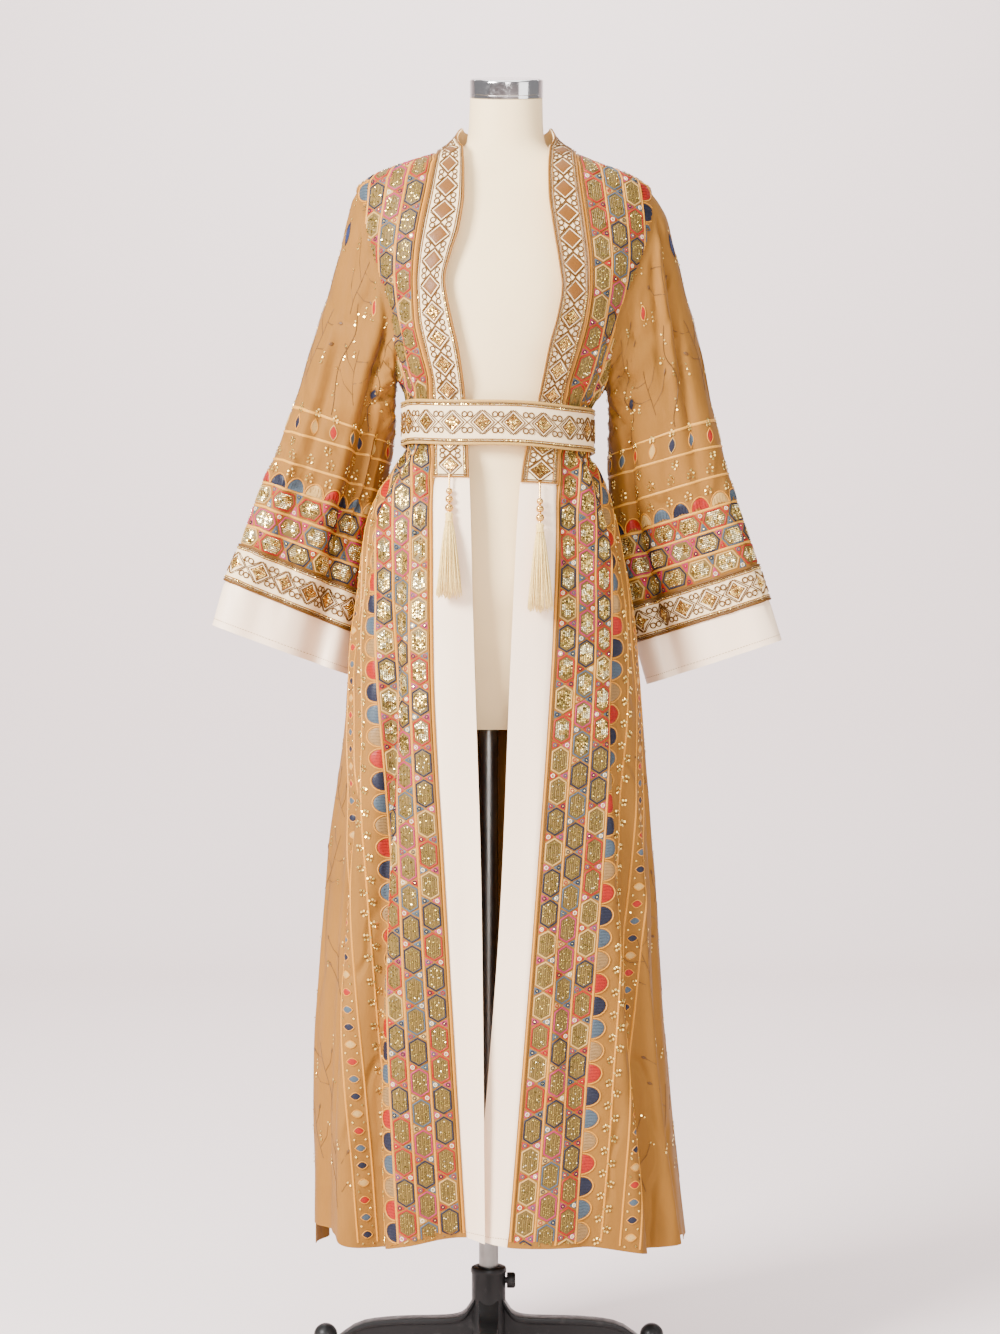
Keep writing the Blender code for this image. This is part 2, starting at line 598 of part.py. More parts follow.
def belt():
    """A closed band round the gathered waist, a little higher at the wearer's right."""
    angles = np.arange(0.0, 360.0, BELT_STEP)
    side = np.sin(np.radians(angles))
    middle = BELT_MIDDLE_Z + BELT_TILT * (1.0 - side) / 2.0 - 0.002 * np.cos(np.radians(angles))
    grid = []
    for f in (-0.5, 0.0, 0.5):
        row = plain_section(angles, np.full(len(angles), BELT_MIDDLE_Z), BELT_LIFT)
        row[:, 2] = middle + BELT_HEIGHT * f
        grid.append(row)
    wall("belt", np.array(grid), BELT_WALL, "diamond_trim", closed=True, parent=FORM)


def plain_section(angles, z, lift):
    """The body's section without folds, moved out by lift."""
    side, forward = np.sin(np.radians(angles)), np.cos(np.radians(angles))
    right, left = BODY("right_x", z), BODY("left_x", z)
    depth = np.where(forward > 0.0, -BODY("front_y", z), BODY("back_y", z)) + lift
    power = 2.0 / ROUNDNESS
    x = (right + left) / 2.0 + ((left - right) / 2.0 + lift) * np.sign(side) * np.abs(side) ** power
    y = -depth * np.sign(forward) * np.abs(forward) ** power
    return np.stack(np.broadcast_arrays(x, y, z), axis=-1)


def sleeve_point(side, along, turn):
    """A point of a sleeve: along is 0 at the armhole and 1 at the hem, turn 0 at the outer edge,
    a quarter turn in front, half at the inner edge."""
    sign = 1.0 if side == "left" else -1.0
    sleeve = SLEEVE[side]

    def oval(at):
        outer = np.stack(np.broadcast_arrays(
            sleeve("outer_x", at), sleeve("outer_y", at), sleeve("outer_z", at)), axis=-1)
        inner = np.stack(np.broadcast_arrays(
            sleeve("inner_x", at), sleeve("inner_y", at), sleeve("inner_z", at)), axis=-1)
        inward = ((1.0 - np.cos(turn)) / 2.0)[..., None]
        point = outer + (inner - outer) * inward
        swell = np.sign(np.sin(turn)) * np.abs(np.sin(turn)) ** 0.9
        point[..., 1] -= sleeve("depth", at) * swell
        return point

    front_angle = armhole_angle(turn)
    front = np.sin(turn) >= 0.0
    angle = sign * np.where(front, front_angle, 180.0 - front_angle)
    armhole = body_point(angle, armhole_z(turn))
    armhole[..., 0] += sign * (ARMHOLE_GAP + ARMHOLE_GAP * np.maximum(np.cos(turn), 0.0))
    start = np.zeros_like(along)
    blend = ramp(along, 0.0, 0.42)[..., None]
    point = oval(along) + (1.0 - blend) * (armhole - oval(start))
    push = 0.0
    for centre, width, size, begin, end in SLEEVE_CREASES:
        amount = ramp(along, begin, begin + 0.2) * (0.6 + 0.4 * ramp(along, end - 0.3, end))
        push = push + size * amount * bell(((turn / (2 * math.pi)) - centre) / width)
    point[..., 1] -= push * np.sign(np.sin(turn))
    return point


def sleeve_ring_grid(side, shares, lift=0.0):
    turns = np.concatenate([ARMHOLE_TURNS, 2.0 * math.pi - ARMHOLE_TURNS[-2:0:-1]])
    along, turn = np.meshgrid(np.array(shares), turns, indexing="ij")
    points = sleeve_point(side, along, turn)
    points = points[::-1]
    if side == "left":
        points = points[:, ::-1]
    if lift:
        points = points + grid_normals(points, True) * lift
    return points


def sleeve(side):
    shares = [0.0, 0.03, 0.08, 0.15, 0.23, 0.31, 0.39, 0.47, 0.55, 0.63, 0.70, 0.76, 0.82, SLEEVE_END]
    wall("sleeve_" + side, sleeve_ring_grid(side, shares), CLOTH, "tan_cloth",
         closed=True, parent=FORM)
    cuff_start = SLEEVE_END + 0.0022
    wall("cuff_" + side, sleeve_ring_grid(side, [cuff_start, 0.94, 1.0]), CLOTH,
         "cream_cloth", closed=True, parent=FORM)
    trim_shares = [SLEEVE_TRIM_START, 0.82, SLEEVE_END]
    wall("sleeve_trim_" + side, sleeve_ring_grid(side, trim_shares, TRIM_LIFT), TRIM,
         "diamond_trim", closed=True, parent=FORM)


# ---- tassels -----------------------------------------------------------------------------------
def tassel_place(side):
    """A matrix that hangs a tassel down the skirt's slope: Z is up along its cord."""
    size = TASSELS[side]
    top = front_point(size["x"], size["cord_z"])
    low = front_point(size["x"], size["tip_z"])
    top = Vector(top) + Vector((0.0, -0.0060, 0.0))
    low = Vector(low) + Vector((0.0, -TASSEL_SPREAD - 0.0040, 0.0))
    up = (top - low).normalized()
    middle = Vector(front_point(size["x"], size["bead_z"][2])) + Vector((0.0, -0.0095, 0.0))
    at_middle = low + up * ((middle.z - low.z) / up.z)
    if middle.y < at_middle.y:
        low.y += middle.y - at_middle.y
        top.y += middle.y - at_middle.y
    up = (top - low).normalized()
    turn = up.to_track_quat("Z", "Y").to_matrix().to_4x4()
    return Matrix.Translation(top) @ turn, up.z


def tassel_cord(side):
    """The cord with its three beads, turned as one body."""
    size = TASSELS[side]
    place, slope = tassel_place(side)

    def down(z):
        return (z - size["cord_z"]) / slope

    profile = [(CORD_RADIUS, 0.0)]
    for bead_z, radius in zip(size["bead_z"], BEAD_RADII):
        middle = down(bead_z)
        for step in (68.0, 40.0, 0.0, -40.0, -68.0):
            tilt = math.radians(step)
            profile.append((radius * math.cos(tilt), middle + radius * math.sin(tilt)))
    profile.append((CORD_RADIUS, down(size["head_z"]) + SEAM_GAP))
    turned("tassel_cord_" + side, profile[::-1], 10, "gold_bead", place, FORM)


def tassel(side):
    """The head with its strands, each a three-sided tapering lock rooted in the head."""
    size = TASSELS[side]
    place, slope = tassel_place(side)
    head_top = (size["head_z"] - size["cord_z"]) / slope
    head_end = (size["head_end_z"] - size["cord_z"]) / slope
    tip = (size["tip_z"] - size["cord_z"]) / slope
    head = bmesh.new()
    segments = 12
    rings = []
    for radius, z in ((0.0030, head_top), (TASSEL_HEAD_RADIUS, head_top - 0.002),
                      (TASSEL_HEAD_RADIUS * 0.86, (head_top + head_end) / 2.0),
                      (TASSEL_HEAD_RADIUS, head_end)):
        rings.append([head.verts.new((radius * math.cos(2 * math.pi * j / segments),
                                      radius * math.sin(2 * math.pi * j / segments), z))
                      for j in range(segments)])
    for high, low in zip(rings, rings[1:]):
        for j in range(segments):
            k = (j + 1) % segments
            head.faces.new((high[j], high[k], low[k], low[j]))
    head.faces.new(rings[0])
    head.faces.new(rings[-1][::-1])
    thing = add_object("tassel_" + side, head, "tassel_silk", None)
    strands = bmesh.new()
    for ring, count in enumerate(STRANDS_IN_RINGS):
        root_ring = TASSEL_HEAD_RADIUS * (0.16, 0.46, 0.76)[ring]
        tip_ring = TASSEL_SPREAD * (0.22, 0.56, 0.92)[ring]
        for j in range(count):
            turn = 2.0 * math.pi * (j + 0.37 * ring) / count
            out = Vector((math.cos(turn), math.sin(turn), 0.0))
            length = 1.0 - 0.035 * ((j * 7 + ring * 3) % 5) / 4.0
            add_strand(strands, out, root_ring, tip_ring, head_end + 0.002, head_end,
                       head_end + (tip - head_end) * length)
    mesh = bpy.data.meshes.new("strand_cutter")
    bmesh.ops.recalc_face_normals(strands, faces=strands.faces)
    strands.to_mesh(mesh)
    strands.free()
    locks = bpy.data.objects.new("strands_" + side, mesh)
    bpy.context.scene.collection.objects.link(locks)
    locks.hide_render = True
    locks.display_type = "WIRE"
    union = thing.modifiers.new("strands", "BOOLEAN")
    union.operation = "UNION"
    union.solver = "EXACT"
    union.object = locks
    thing.matrix_world = place
    locks.matrix_world = place
    for each in (thing, locks):
        world = each.matrix_world.copy()
        each.parent = FORM
        each.matrix_parent_inverse = FORM.matrix_world.inverted()
        each.matrix_world = world


def add_strand(shape, out, root_ring, tip_ring, root_z, leave_z, tip_z):
    """A three-sided lock: a thin root inside the head, then a slow spread to its tip."""
    rows = []
    for f in (None, 0.0, 0.35, 1.0):
        z = root_z if f is None else leave_z + (tip_z - leave_z) * f
        spread = 0.0 if f is None else f ** 0.75
        middle = out * (root_ring + (tip_ring - root_ring) * spread)
        width = STRAND_WIDTH * (0.20 if f is None else 0.22 + 0.78 * f ** 0.8)
        across = Vector((-out.y, out.x, 0.0))
        corners = (out * 0.55, across * 0.5 - out * 0.3, -across * 0.5 - out * 0.3)
        rows.append([shape.verts.new(middle + c * width + Vector((0.0, 0.0, z))) for c in corners])
    for high, low in zip(rows, rows[1:]):
        for j in range(3):
            k = (j + 1) % 3
            shape.faces.new((high[j], high[k], low[k], low[j]))
    shape.faces.new(rows[0])
    shape.faces.new(rows[-1][::-1])


# ---- the dress form and its stand --------------------------------------------------------------
def form_torso():
    """Smooth limbless torso, flat below, its neck cut on the cap's slope."""
    heights = [0.880, 0.898, 0.96, 1.06, 1.16, 1.24, 1.28, 1.33, 1.39, 1.44, 1.53, 1.58, 1.61,
               1.628, 1.643, 1.656, 1.670, 1.695, 1.731]
    angles = np.linspace(0.0, 360.0, 24, endpoint=False)
    rings = []
    for z in heights:
        side, forward = np.sin(np.radians(angles)), np.cos(np.radians(angles))
        centre = POLE_X + (CAP_CENTRE[0] - POLE_X) * ramp(z, 0.70, 1.80)
        depth = np.where(forward > 0.0, -TORSO("front_y", z), TORSO("back_y", z))
        x = centre + TORSO("half_x", z) * np.sign(side) * np.abs(side) ** 0.9
        y = -depth * np.sign(forward) * np.abs(forward) ** 0.9
        level = z + y * math.tan(NECK_TILT) * ramp(z, 1.655, NECK_TOP_Z)
        rings.append(np.stack([x, y, level], axis=-1))
    loft("form_torso", rings, "form_cover", FORM)


def neck_cap():
    place = Matrix.Translation((CAP_CENTRE[0], 0.0, NECK_TOP_Z + SEAM_GAP)) \
        @ Matrix.Rotation(NECK_TILT, 4, "X")
    profile = [(CAP_RADIUS, 0.0), (CAP_RADIUS, CAP_HEIGHT - 0.003),
               (CAP_RADIUS - 0.001, CAP_HEIGHT - 0.0008), (CAP_RADIUS - 0.004, CAP_HEIGHT)]
    turned("neck_cap", profile, 32, "cap_chrome", place, FORM)


def pole():
    place = Matrix.Translation((POLE_X, 0.0, 0.0))
    profile = [(POLE_RADIUS, POLE_FOOT_Z), (POLE_RADIUS, TORSO_FLOOR_Z - SEAM_GAP)]
    turned("pole", profile, 24, "pole_steel", place, POLE)


def base_hub():
    """Cast socket that the pole slides in, with the clamp screw's hole."""
    bore = POLE_RADIUS + POLE_CLEARANCE
    outline = [(bore, HUB_TOP_Z), (HUB_RADIUS - 0.002, HUB_TOP_Z), (HUB_RADIUS, HUB_TOP_Z - 0.003),
               (HUB_RADIUS, 0.105), (HUB_RADIUS, HUB_FOOT_Z), (HUB_RADIUS - 0.004, HUB_FOOT_Z - 0.006),
               (bore, HUB_FOOT_Z - 0.006)]
    segments = 32
    shape = bmesh.new()
    rings = []
    for r, z in outline:
        rings.append([shape.verts.new((r * math.cos(2 * math.pi * j / segments),
                                       r * math.sin(2 * math.pi * j / segments), z))
                      for j in range(segments)])
    for a, b in zip(rings, rings[1:] + rings[:1]):
        for j in range(segments):
            k = (j + 1) % segments
            shape.faces.new((a[j], a[k], b[k], b[j]))
    hub = add_object("base_hub", shape, "black_iron", None)
    hub.location = (POLE_X, 0.0, 0.0)
    drill = bmesh.new()
    bmesh.ops.create_cone(drill, cap_ends=True, segments=16, radius1=0.0048, radius2=0.0048,
                          depth=0.03, matrix=Matrix.Rotation(math.radians(90.0), 4, "Y"))
    cutter = add_object("screw_hole", drill, "black_iron", None)
    cutter.location = (POLE_X + 0.024, 0.0, SCREW_Z)
    cutter.hide_render = True
    cutter.display_type = "WIRE"
    cut = hub.modifiers.new("screw_hole", "BOOLEAN")
    cut.operation = "DIFFERENCE"
    cut.solver = "EXACT"
    cut.object = cutter


def clamp_screw():
    """Knob and shank that clamp the pole, turned about X."""
    start = POLE_RADIUS + 0.0005
    head = HUB_RADIUS + 0.0006
    profile = [(0.0042, start), (0.0042, head), (SCREW_HEAD_RADIUS, head),
               (SCREW_HEAD_RADIUS, head + 0.009), (SCREW_HEAD_RADIUS - 0.002, head + 0.0115)]
    place = Matrix.Rotation(math.radians(90.0), 4, "Y")
    turned("clamp_screw", profile, 20, "black_iron", place, SCREW)
    bpy.data.objects["clamp_screw"].matrix_parent_inverse = Matrix.Identity(4)


def leg(number):
    """One cast leg: a flat top with a lip, falling to its foot."""
    turn = Matrix.Translation((POLE_X, 0.0, 0.0)) @ Matrix.Rotation(math.radians(90.0 * number), 4, "Z")
    stations = [  # (distance out, top z, height, lip half width, web half width)
        (HUB_RADIUS + 0.0012, 0.087, 0.032, 0.013, 0.009),
        (0.060, 0.086, 0.026, 0.0125, 0.008),
        (0.110, 0.085, 0.023, 0.012, 0.0075),
        (0.160, 0.081, 0.021, 0.0115, 0.007),
        (0.188, 0.071, 0.022, 0.011, 0.007),
        (LEG_REACH - FOOT_RADIUS - 0.0005, 0.058, 0.022, 0.010, 0.007),
    ]
    rings = []
    for x, top, height, lip, web in stations:
        outline = [(-lip, top), (lip, top), (lip, top - 0.006), (web, top - 0.009),
                   (web, top - height), (-web, top - height), (-web, top - 0.009), (-lip, top - 0.006)]
        rings.append([turn @ Vector((x, y, z)) for y, z in outline])
    loft("leg_%d" % (number + 1), rings, "black_iron")


def foot(number):
    angle = math.radians(90.0 * number)
    place = Matrix.Translation((POLE_X + LEG_REACH * math.cos(angle), LEG_REACH * math.sin(angle), 0.0))
    rise = FOOT_TOP_Z - FOOT_RADIUS
    profile = [(FOOT_RADIUS - 0.002, 0.0), (FOOT_RADIUS, 0.003), (FOOT_RADIUS, rise)]
    for step in (30.0, 55.0, 78.0):
        tilt = math.radians(step)
        profile.append((FOOT_RADIUS * math.cos(tilt), rise + FOOT_RADIUS * math.sin(tilt)))
    turned("foot_%d" % (number + 1), profile, 16, "black_iron", place)


def pivot(name, location):
    empty = bpy.data.objects.new(name, None)
    bpy.context.scene.collection.objects.link(empty)
    empty.location = location
    bpy.context.view_layer.update()
    return empty


clear_scene()
POLE = pivot("pole_slide_axis", (POLE_X, 0.0, 0.0))
FORM = pivot("form_turn_axis", (POLE_X, 0.0, TORSO_FLOOR_Z))
SCREW = pivot("clamp_screw_axis", (POLE_X, 0.0, SCREW_Z))
for which in ("right", "left"):
    front_panel(which)
    sleeve(which)
    front_trim(which)
    front_band(which)
    tassel_cord(which)
    tassel(which)
back_panel()
collar_trim()
belt()
form_torso()
neck_cap()
pole()
base_hub()
clamp_screw()
for index in range(4):
    leg(index)
    foot(index)
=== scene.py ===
"""Dresses the solids of a belted, open-front embroidered abaya on its dress form.

Left and right are the wearer's: the wearer's left is at +X and the front faces -Y. The cloak's body
is read at an angle round the figure (0 front, +90 the left side, 180 back) and a level, its height.
"""
import itertools
import math

import bmesh
import bpy
import numpy as np
from bpy.props import FloatProperty, FloatVectorProperty, IntProperty, PointerProperty
from mathutils import Matrix, Vector


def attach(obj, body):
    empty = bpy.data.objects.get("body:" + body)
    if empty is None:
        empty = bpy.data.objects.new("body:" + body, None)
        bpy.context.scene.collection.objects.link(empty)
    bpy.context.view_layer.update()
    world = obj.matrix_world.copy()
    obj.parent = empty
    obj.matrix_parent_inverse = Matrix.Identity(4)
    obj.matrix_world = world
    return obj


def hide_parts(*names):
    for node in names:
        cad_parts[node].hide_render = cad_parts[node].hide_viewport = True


bl_info = {
    "name": "Belted Embroidered Abaya",
    "version": (1, 0, 0),
    "blender": (4, 5, 0),
    "location": "3D View > Sidebar > Abaya",
    "description": "Cloth, needlework, trims, tassels and stand finishes for an open-front abaya",
    "category": "Object",
}

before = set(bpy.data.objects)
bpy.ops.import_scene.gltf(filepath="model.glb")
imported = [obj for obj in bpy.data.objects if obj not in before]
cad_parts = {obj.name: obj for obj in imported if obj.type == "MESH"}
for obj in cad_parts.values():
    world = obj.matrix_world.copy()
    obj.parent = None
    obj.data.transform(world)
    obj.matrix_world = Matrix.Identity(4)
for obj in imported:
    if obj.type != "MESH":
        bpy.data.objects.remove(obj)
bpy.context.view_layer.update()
SIDES = {"right": -1.0, "left": 1.0}    # the wearer's sides, and which way each lies along X


# ---- driving dimensions ------------------------------------------------------------------------
SEAM_ANGLE = 0.035           # degrees that a side seam's edges keep from the side line
SEAM_TUCK = 0.0016           # how far a sleeve's start goes in under the panels' edge
CLOTH = 0.0010               # wall of the tan cloth and the satin
TUCK = 0.0045                # how far a panel goes on under the trim
TRIM = 0.0014                # wall of the diamond trim
TRIM_LIFT = 0.0018           # how far the trim's face stands off the cloth below it
BELT_WALL = 0.0024
BELT_HEIGHT = 0.058
BELT_LIFT = 0.0056           # from the gathered cloth to the belt's face
BELT_MIDDLE_Z = 1.2785
BELT_TILT = 0.011            # how much higher the belt sits at the wearer's right side
UNDER_BELT = (1.256, 1.300)  # levels between which the panels carry no stitches
TRIM_UNDER_BELT = (1.252, 1.301)           # and the front trims
DULL_FROM_Z = 1.452          # above it the front trims' diamonds are plain satin, without sequins
ROUNDNESS = 2.3              # exponent of the body's horizontal sections

COLLAR_TOP_Z = 1.689
COLLAR_SEAM_Z = 1.6545       # where the trim's outer edge crosses the shoulder seam
SHOULDER_Z = 1.604           # outer end of the shoulder seam
UNDERARM_Z = 1.339
ARMHOLE_GAP = 0.0009         # the sleeve's start keeps this from the panels, twice it on the shoulder
ARMHOLE_BITE = 27.5          # degrees that the armhole cuts in from the side line at its deepest
TRIM_END_Z = 1.208           # lower end of the front trim, below the belt
HEM_LEVEL = 0.21             # where the hem row's edges are read; its heights come from the hems
HEM_STITCH_RISE = 0.0085     # from a turned hem's edge to its running stitch

PART_GAP = 0.0003            # between two parts of the form and its stand that meet
POLE_X = -0.0113
POLE_RADIUS = 0.0130
POLE_CLEARANCE = 0.0004
POLE_FOOT_Z = 0.012          # low enough to stay 4 cm inside the hub when raised 10 cm
HUB_RADIUS = 0.0240
HUB_TOP_Z = 0.154
HUB_FOOT_Z = 0.052
LEG_REACH = 0.220            # from the pole's axis to each foot's axis
FOOT_RADIUS = 0.016
FOOT_TOP_Z = 0.077
TORSO_FLOOR_Z = 0.880
NECK_TOP_Z = 1.731
NECK_TILT = math.radians(15.0)
CAP_RADIUS = 0.0496
CAP_HEIGHT = 0.0250
CAP_X = 0.0128
SCREW_Z = 0.135
SCREW_HEAD_RADIUS = 0.0105
SCREW_HOLE_RADIUS = 0.0048


class Table:
    """Rows of sizes with named columns, read smoothly in between (monotone cubic)."""

    def __init__(self, columns, rows):
        data = np.array(sorted(rows), dtype=float)
        self.keys = data[:, 0]
        self.columns = {name: (values, self._slopes(values)) for name, values in zip(columns.split(), data.T)}

    def _slopes(self, values):
        step = np.diff(self.keys)
        rise = np.diff(values) / step
        slopes = np.zeros(len(values))
        slopes[0], slopes[-1] = rise[0], rise[-1]
        for i in range(1, len(values) - 1):
            if rise[i - 1] * rise[i] > 0.0:
                near, far = 2.0 * step[i] + step[i - 1], step[i] + 2.0 * step[i - 1]
                slopes[i] = (near + far) / (near / rise[i - 1] + far / rise[i])
        return slopes

    def __call__(self, name, key):
        values, slopes = self.columns[name]
        key = np.clip(key, self.keys[0], self.keys[-1])
        i = np.clip(np.searchsorted(self.keys, key, side="right") - 1, 0, len(self.keys) - 2)
        step = self.keys[i + 1] - self.keys[i]
        f = (key - self.keys[i]) / step
        return ((1 + 2 * f) * (1 - f) ** 2 * values[i] + f * (1 - f) ** 2 * step * slopes[i]
                + f * f * (3 - 2 * f) * values[i + 1] + f * f * (f - 1) * step * slopes[i + 1])


# Horizontal sections of the worn cloak: side points, and how far it stands out in front and behind.
BODY = Table("z right_x left_x front_y back_y", [
    (1.689, -0.0452, 0.0697, -0.046, 0.068), (1.672, -0.059, 0.0815, -0.054, 0.077),
    (1.6545, -0.08, 0.104, -0.062, 0.087), (1.637, -0.133, 0.144, -0.072, 0.097),
    (1.6225, -0.169, 0.183, -0.079, 0.103), (1.604, -0.19, 0.209, -0.086, 0.109),
    (1.55, -0.19, 0.22, -0.103, 0.117), (1.49, -0.177, 0.205, -0.117, 0.12),
    (1.44, -0.159, 0.182, -0.126, 0.118), (1.4, -0.149, 0.169, -0.127, 0.113),
    (1.339, -0.1345, 0.1465, -0.119, 0.105), (1.323, -0.1256, 0.135, -0.111, 0.101),
    (1.313, -0.1215, 0.125, -0.105, 0.099), (1.244, -0.1215, 0.124, -0.105, 0.099),
    (1.234, -0.129, 0.133, -0.11, 0.104), (1.21, -0.144, 0.145, -0.117, 0.113),
    (1.187, -0.16, 0.153, -0.123, 0.121), (1.141, -0.178, 0.164, -0.132, 0.132),
    (1.064, -0.1877, 0.179, -0.142, 0.144), (0.999, -0.197, 0.1877, -0.147, 0.149),
    (0.9, -0.2035, 0.196, -0.152, 0.154), (0.783, -0.2147, 0.2039, -0.157, 0.16),
    (0.648, -0.2265, 0.2133, -0.162, 0.167), (0.513, -0.2365, 0.2214, -0.167, 0.174),
    (0.351, -0.244, 0.2349, -0.172, 0.182), (0.18, -0.245, 0.253, -0.177, 0.19),
])

# Long folds of the skirt. A fold runs at a steady angle from its top to the hem, and its depth
# grows to the hem: minus is a valley. Power sets how late it grows.
FOLDS = [  # (angle, half width in degrees, depth, top z, power)
    (-40, 4.5, -0.028, 1.12, 0.55), (-50, 6, 0.013, 1.12, 0.6), (-69, 6, -0.011, 0.95, 0.8),
    (-24, 7, 0.008, 1, 0.9), (44, 5, 0.01, 0.98, 0.6), (53, 4, -0.017, 0.98, 0.6),
    (63, 4.5, 0.016, 0.56, 1.1), (73, 4.5, -0.018, 0.66, 1), (26, 6, -0.008, 0.9, 0.9),
    (105, 8, 0.014, 1.05, 0.9), (122, 7, -0.015, 1.1, 0.9), (139, 8, 0.013, 1, 0.9),
    (156, 7.5, -0.014, 1.08, 0.9), (174, 8, 0.012, 1.02, 1), (-168, 7, -0.013, 1.06, 0.9),
    (-151, 8, 0.014, 1.04, 0.9), (-133, 7.5, -0.015, 1.1, 0.8), (-116, 7.5, 0.012, 1, 0.9),
    (-101, 6.5, -0.012, 1.02, 0.9),
]

# Gathers that the belt draws in, strongest just below and above it.
GATHERS = [  # (angle, half width in degrees, depth)
    (-66, 5, -0.005), (-52, 5, 0.0045), (-40, 4.5, -0.004), (38, 4.5, -0.004), (50, 5, 0.0045),
    (64, 5, -0.005), (118, 6, 0.0045), (132, 6, -0.0045), (164, 7, 0.0045), (180, 6, -0.0045),
    (-160, 7, 0.0045), (-134, 6, -0.0045), (-116, 6, 0.004),
]

# The front edges: where the tan panel ends (panel) and where the opening begins (inner), by height.
EDGES = {
    "right": Table("z panel inner", [
        (1.689, -0.0783, -0.045), (1.6545, -0.0783, -0.044), (1.62, -0.085, -0.0428),
        (1.588, -0.091, -0.0425), (1.542, -0.0998, -0.048), (1.502, -0.1052, -0.06),
        (1.47, -0.107, -0.0668), (1.426, -0.1055, -0.0595), (1.374, -0.0975, -0.049),
        (1.313, -0.0863, -0.041), (1.208, -0.0845, -0.036), (0.998, -0.0825, -0.03),
        (0.662, -0.0657, -0.02), (0.18, -0.037, -0.015),
    ]),
    "left": Table("z panel inner", [
        (1.689, 0.104, 0.0695), (1.6545, 0.104, 0.069), (1.62, 0.1065, 0.067), (1.588, 0.1105, 0.0672),
        (1.55, 0.1154, 0.0715), (1.488, 0.1212, 0.0806), (1.46, 0.1213, 0.0836), (1.42, 0.1167, 0.0774),
        (1.386, 0.1089, 0.0682), (1.342, 0.0964, 0.0595), (1.313, 0.0885, 0.0538), (1.208, 0.0804, 0.0313),
        (0.998, 0.0725, 0.019), (0.662, 0.0493, 0.005), (0.18, 0.011, -0.033),
    ]),
}

# The skirt's front edges wave near the hem: how far each satin band's free edge stands in front of
# (minus) or behind the cloak's round form, and how far the panel's own edge is drawn back.
BAND_WAVE = Table("z right_free left_free right_panel left_panel", [
    (1.208, -0.0005, 0.0005, 0, 0), (0.9, -0.003, 0.003, 0, 0), (0.66, -0.004, 0.007, 0.002, 0),
    (0.45, -0.002, 0.013, 0.01, 0), (0.18, -0.001, 0.017, 0.024, -0.003),
])

# Hem heights by angle round the body: the fronts hang a little shorter than the back.
FRONT_HEM = Table("angle z", [
    (-90, 0.221), (-60, 0.219), (-42, 0.206), (-25, 0.216), (-8, 0.226), (4, 0.217), (25, 0.214),
    (50, 0.2), (70, 0.207), (90, 0.199),
])
BACK_HEM = Table("angle z", [
    (90, 0.19), (130, 0.186), (180, 0.184), (230, 0.186), (270, 0.185),
])

# Rings of the sleeves: their outer and inner edge points, the y of each, and half the ring's depth.
SLEEVE = Table("along right_outer_x right_outer_z right_inner_x right_inner_z "
               "left_outer_x left_outer_z left_inner_x left_inner_z outer_y inner_y depth", [
    (0, -0.1917, 1.6, -0.137, 1.337, 0.211, 1.6, 0.149, 1.337, 0.008, 0, 0.055),
    (0.08, -0.199, 1.575, -0.1378, 1.328, 0.22, 1.575, 0.1503, 1.328, 0.01, 0.002, 0.056),
    (0.17, -0.2106, 1.5296, -0.1382, 1.318, 0.2309, 1.539, 0.1511, 1.317, 0.012, 0.006, 0.058),
    (0.28, -0.2295, 1.4607, -0.1385, 1.303, 0.2511, 1.458, 0.1518, 1.3, 0.014, 0.014, 0.06),
    (0.38, -0.2484, 1.404, -0.139, 1.286, 0.266, 1.404, 0.1525, 1.282, 0.015, 0.024, 0.062),
    (0.5, -0.2768, 1.3141, -0.142, 1.265, 0.2909, 1.296, 0.152, 1.25, 0.015, 0.048, 0.062),
    (0.58, -0.3031, 1.2447, -0.154, 1.2, 0.311, 1.2245, 0.1535, 1.178, 0.014, 0.068, 0.058),
    (0.66, -0.32, 1.205, -0.169, 1.155, 0.3235, 1.1867, 0.159, 1.137, 0.013, 0.08, 0.055),
    (0.76, -0.347, 1.129, -0.183, 1.065, 0.3529, 1.1016, 0.175, 1.044, 0.012, 0.084, 0.052),
    (0.88, -0.3679, 1.08, -0.193, 1.008, 0.3686, 1.0537, 0.19, 0.996, 0.011, 0.08, 0.049),
    (1, -0.3854, 1.0196, -0.204, 0.952, 0.3854, 0.9994, 0.206, 0.939, 0.01, 0.07, 0.046),
])
SLEEVE_END = 0.88            # the sleeve's seam with the cuff, as a share of its length
SLEEVE_TRIM_START = 0.76
SLEEVE_CREASES = [  # (share round the ring, half width, depth, start, end)
    (0.335, 0.03, -0.016, 0.3, 0.99), (0.4, 0.03, 0.004, 0.34, 0.99), (0.19, 0.035, -0.006, 0.2, 0.9),
    (0.62, 0.04, -0.01, 0.25, 0.99), (0.78, 0.04, -0.007, 0.3, 0.99),
]

# The dress form: half width, front and back, smooth and plain, with sloping shoulders.
TORSO = Table("z half_x front_y back_y", [
    (1.731, 0.049, -0.05, 0.048), (1.695, 0.05, -0.05, 0.051), (1.67, 0.053, -0.05, 0.055),
    (1.656, 0.064, -0.051, 0.06), (1.643, 0.09, -0.055, 0.068), (1.628, 0.127, -0.061, 0.077),
    (1.61, 0.15, -0.067, 0.085), (1.58, 0.166, -0.077, 0.095), (1.53, 0.166, -0.092, 0.103),
    (1.44, 0.148, -0.111, 0.104), (1.39, 0.137, -0.111, 0.099), (1.33, 0.117, -0.098, 0.088),
    (1.28, 0.108, -0.088, 0.082), (1.24, 0.109, -0.088, 0.084), (1.16, 0.132, -0.098, 0.098),
    (1.06, 0.152, -0.108, 0.11), (0.96, 0.15, -0.104, 0.106), (0.898, 0.142, -0.096, 0.098),
    (0.88, 0.133, -0.088, 0.09),
])

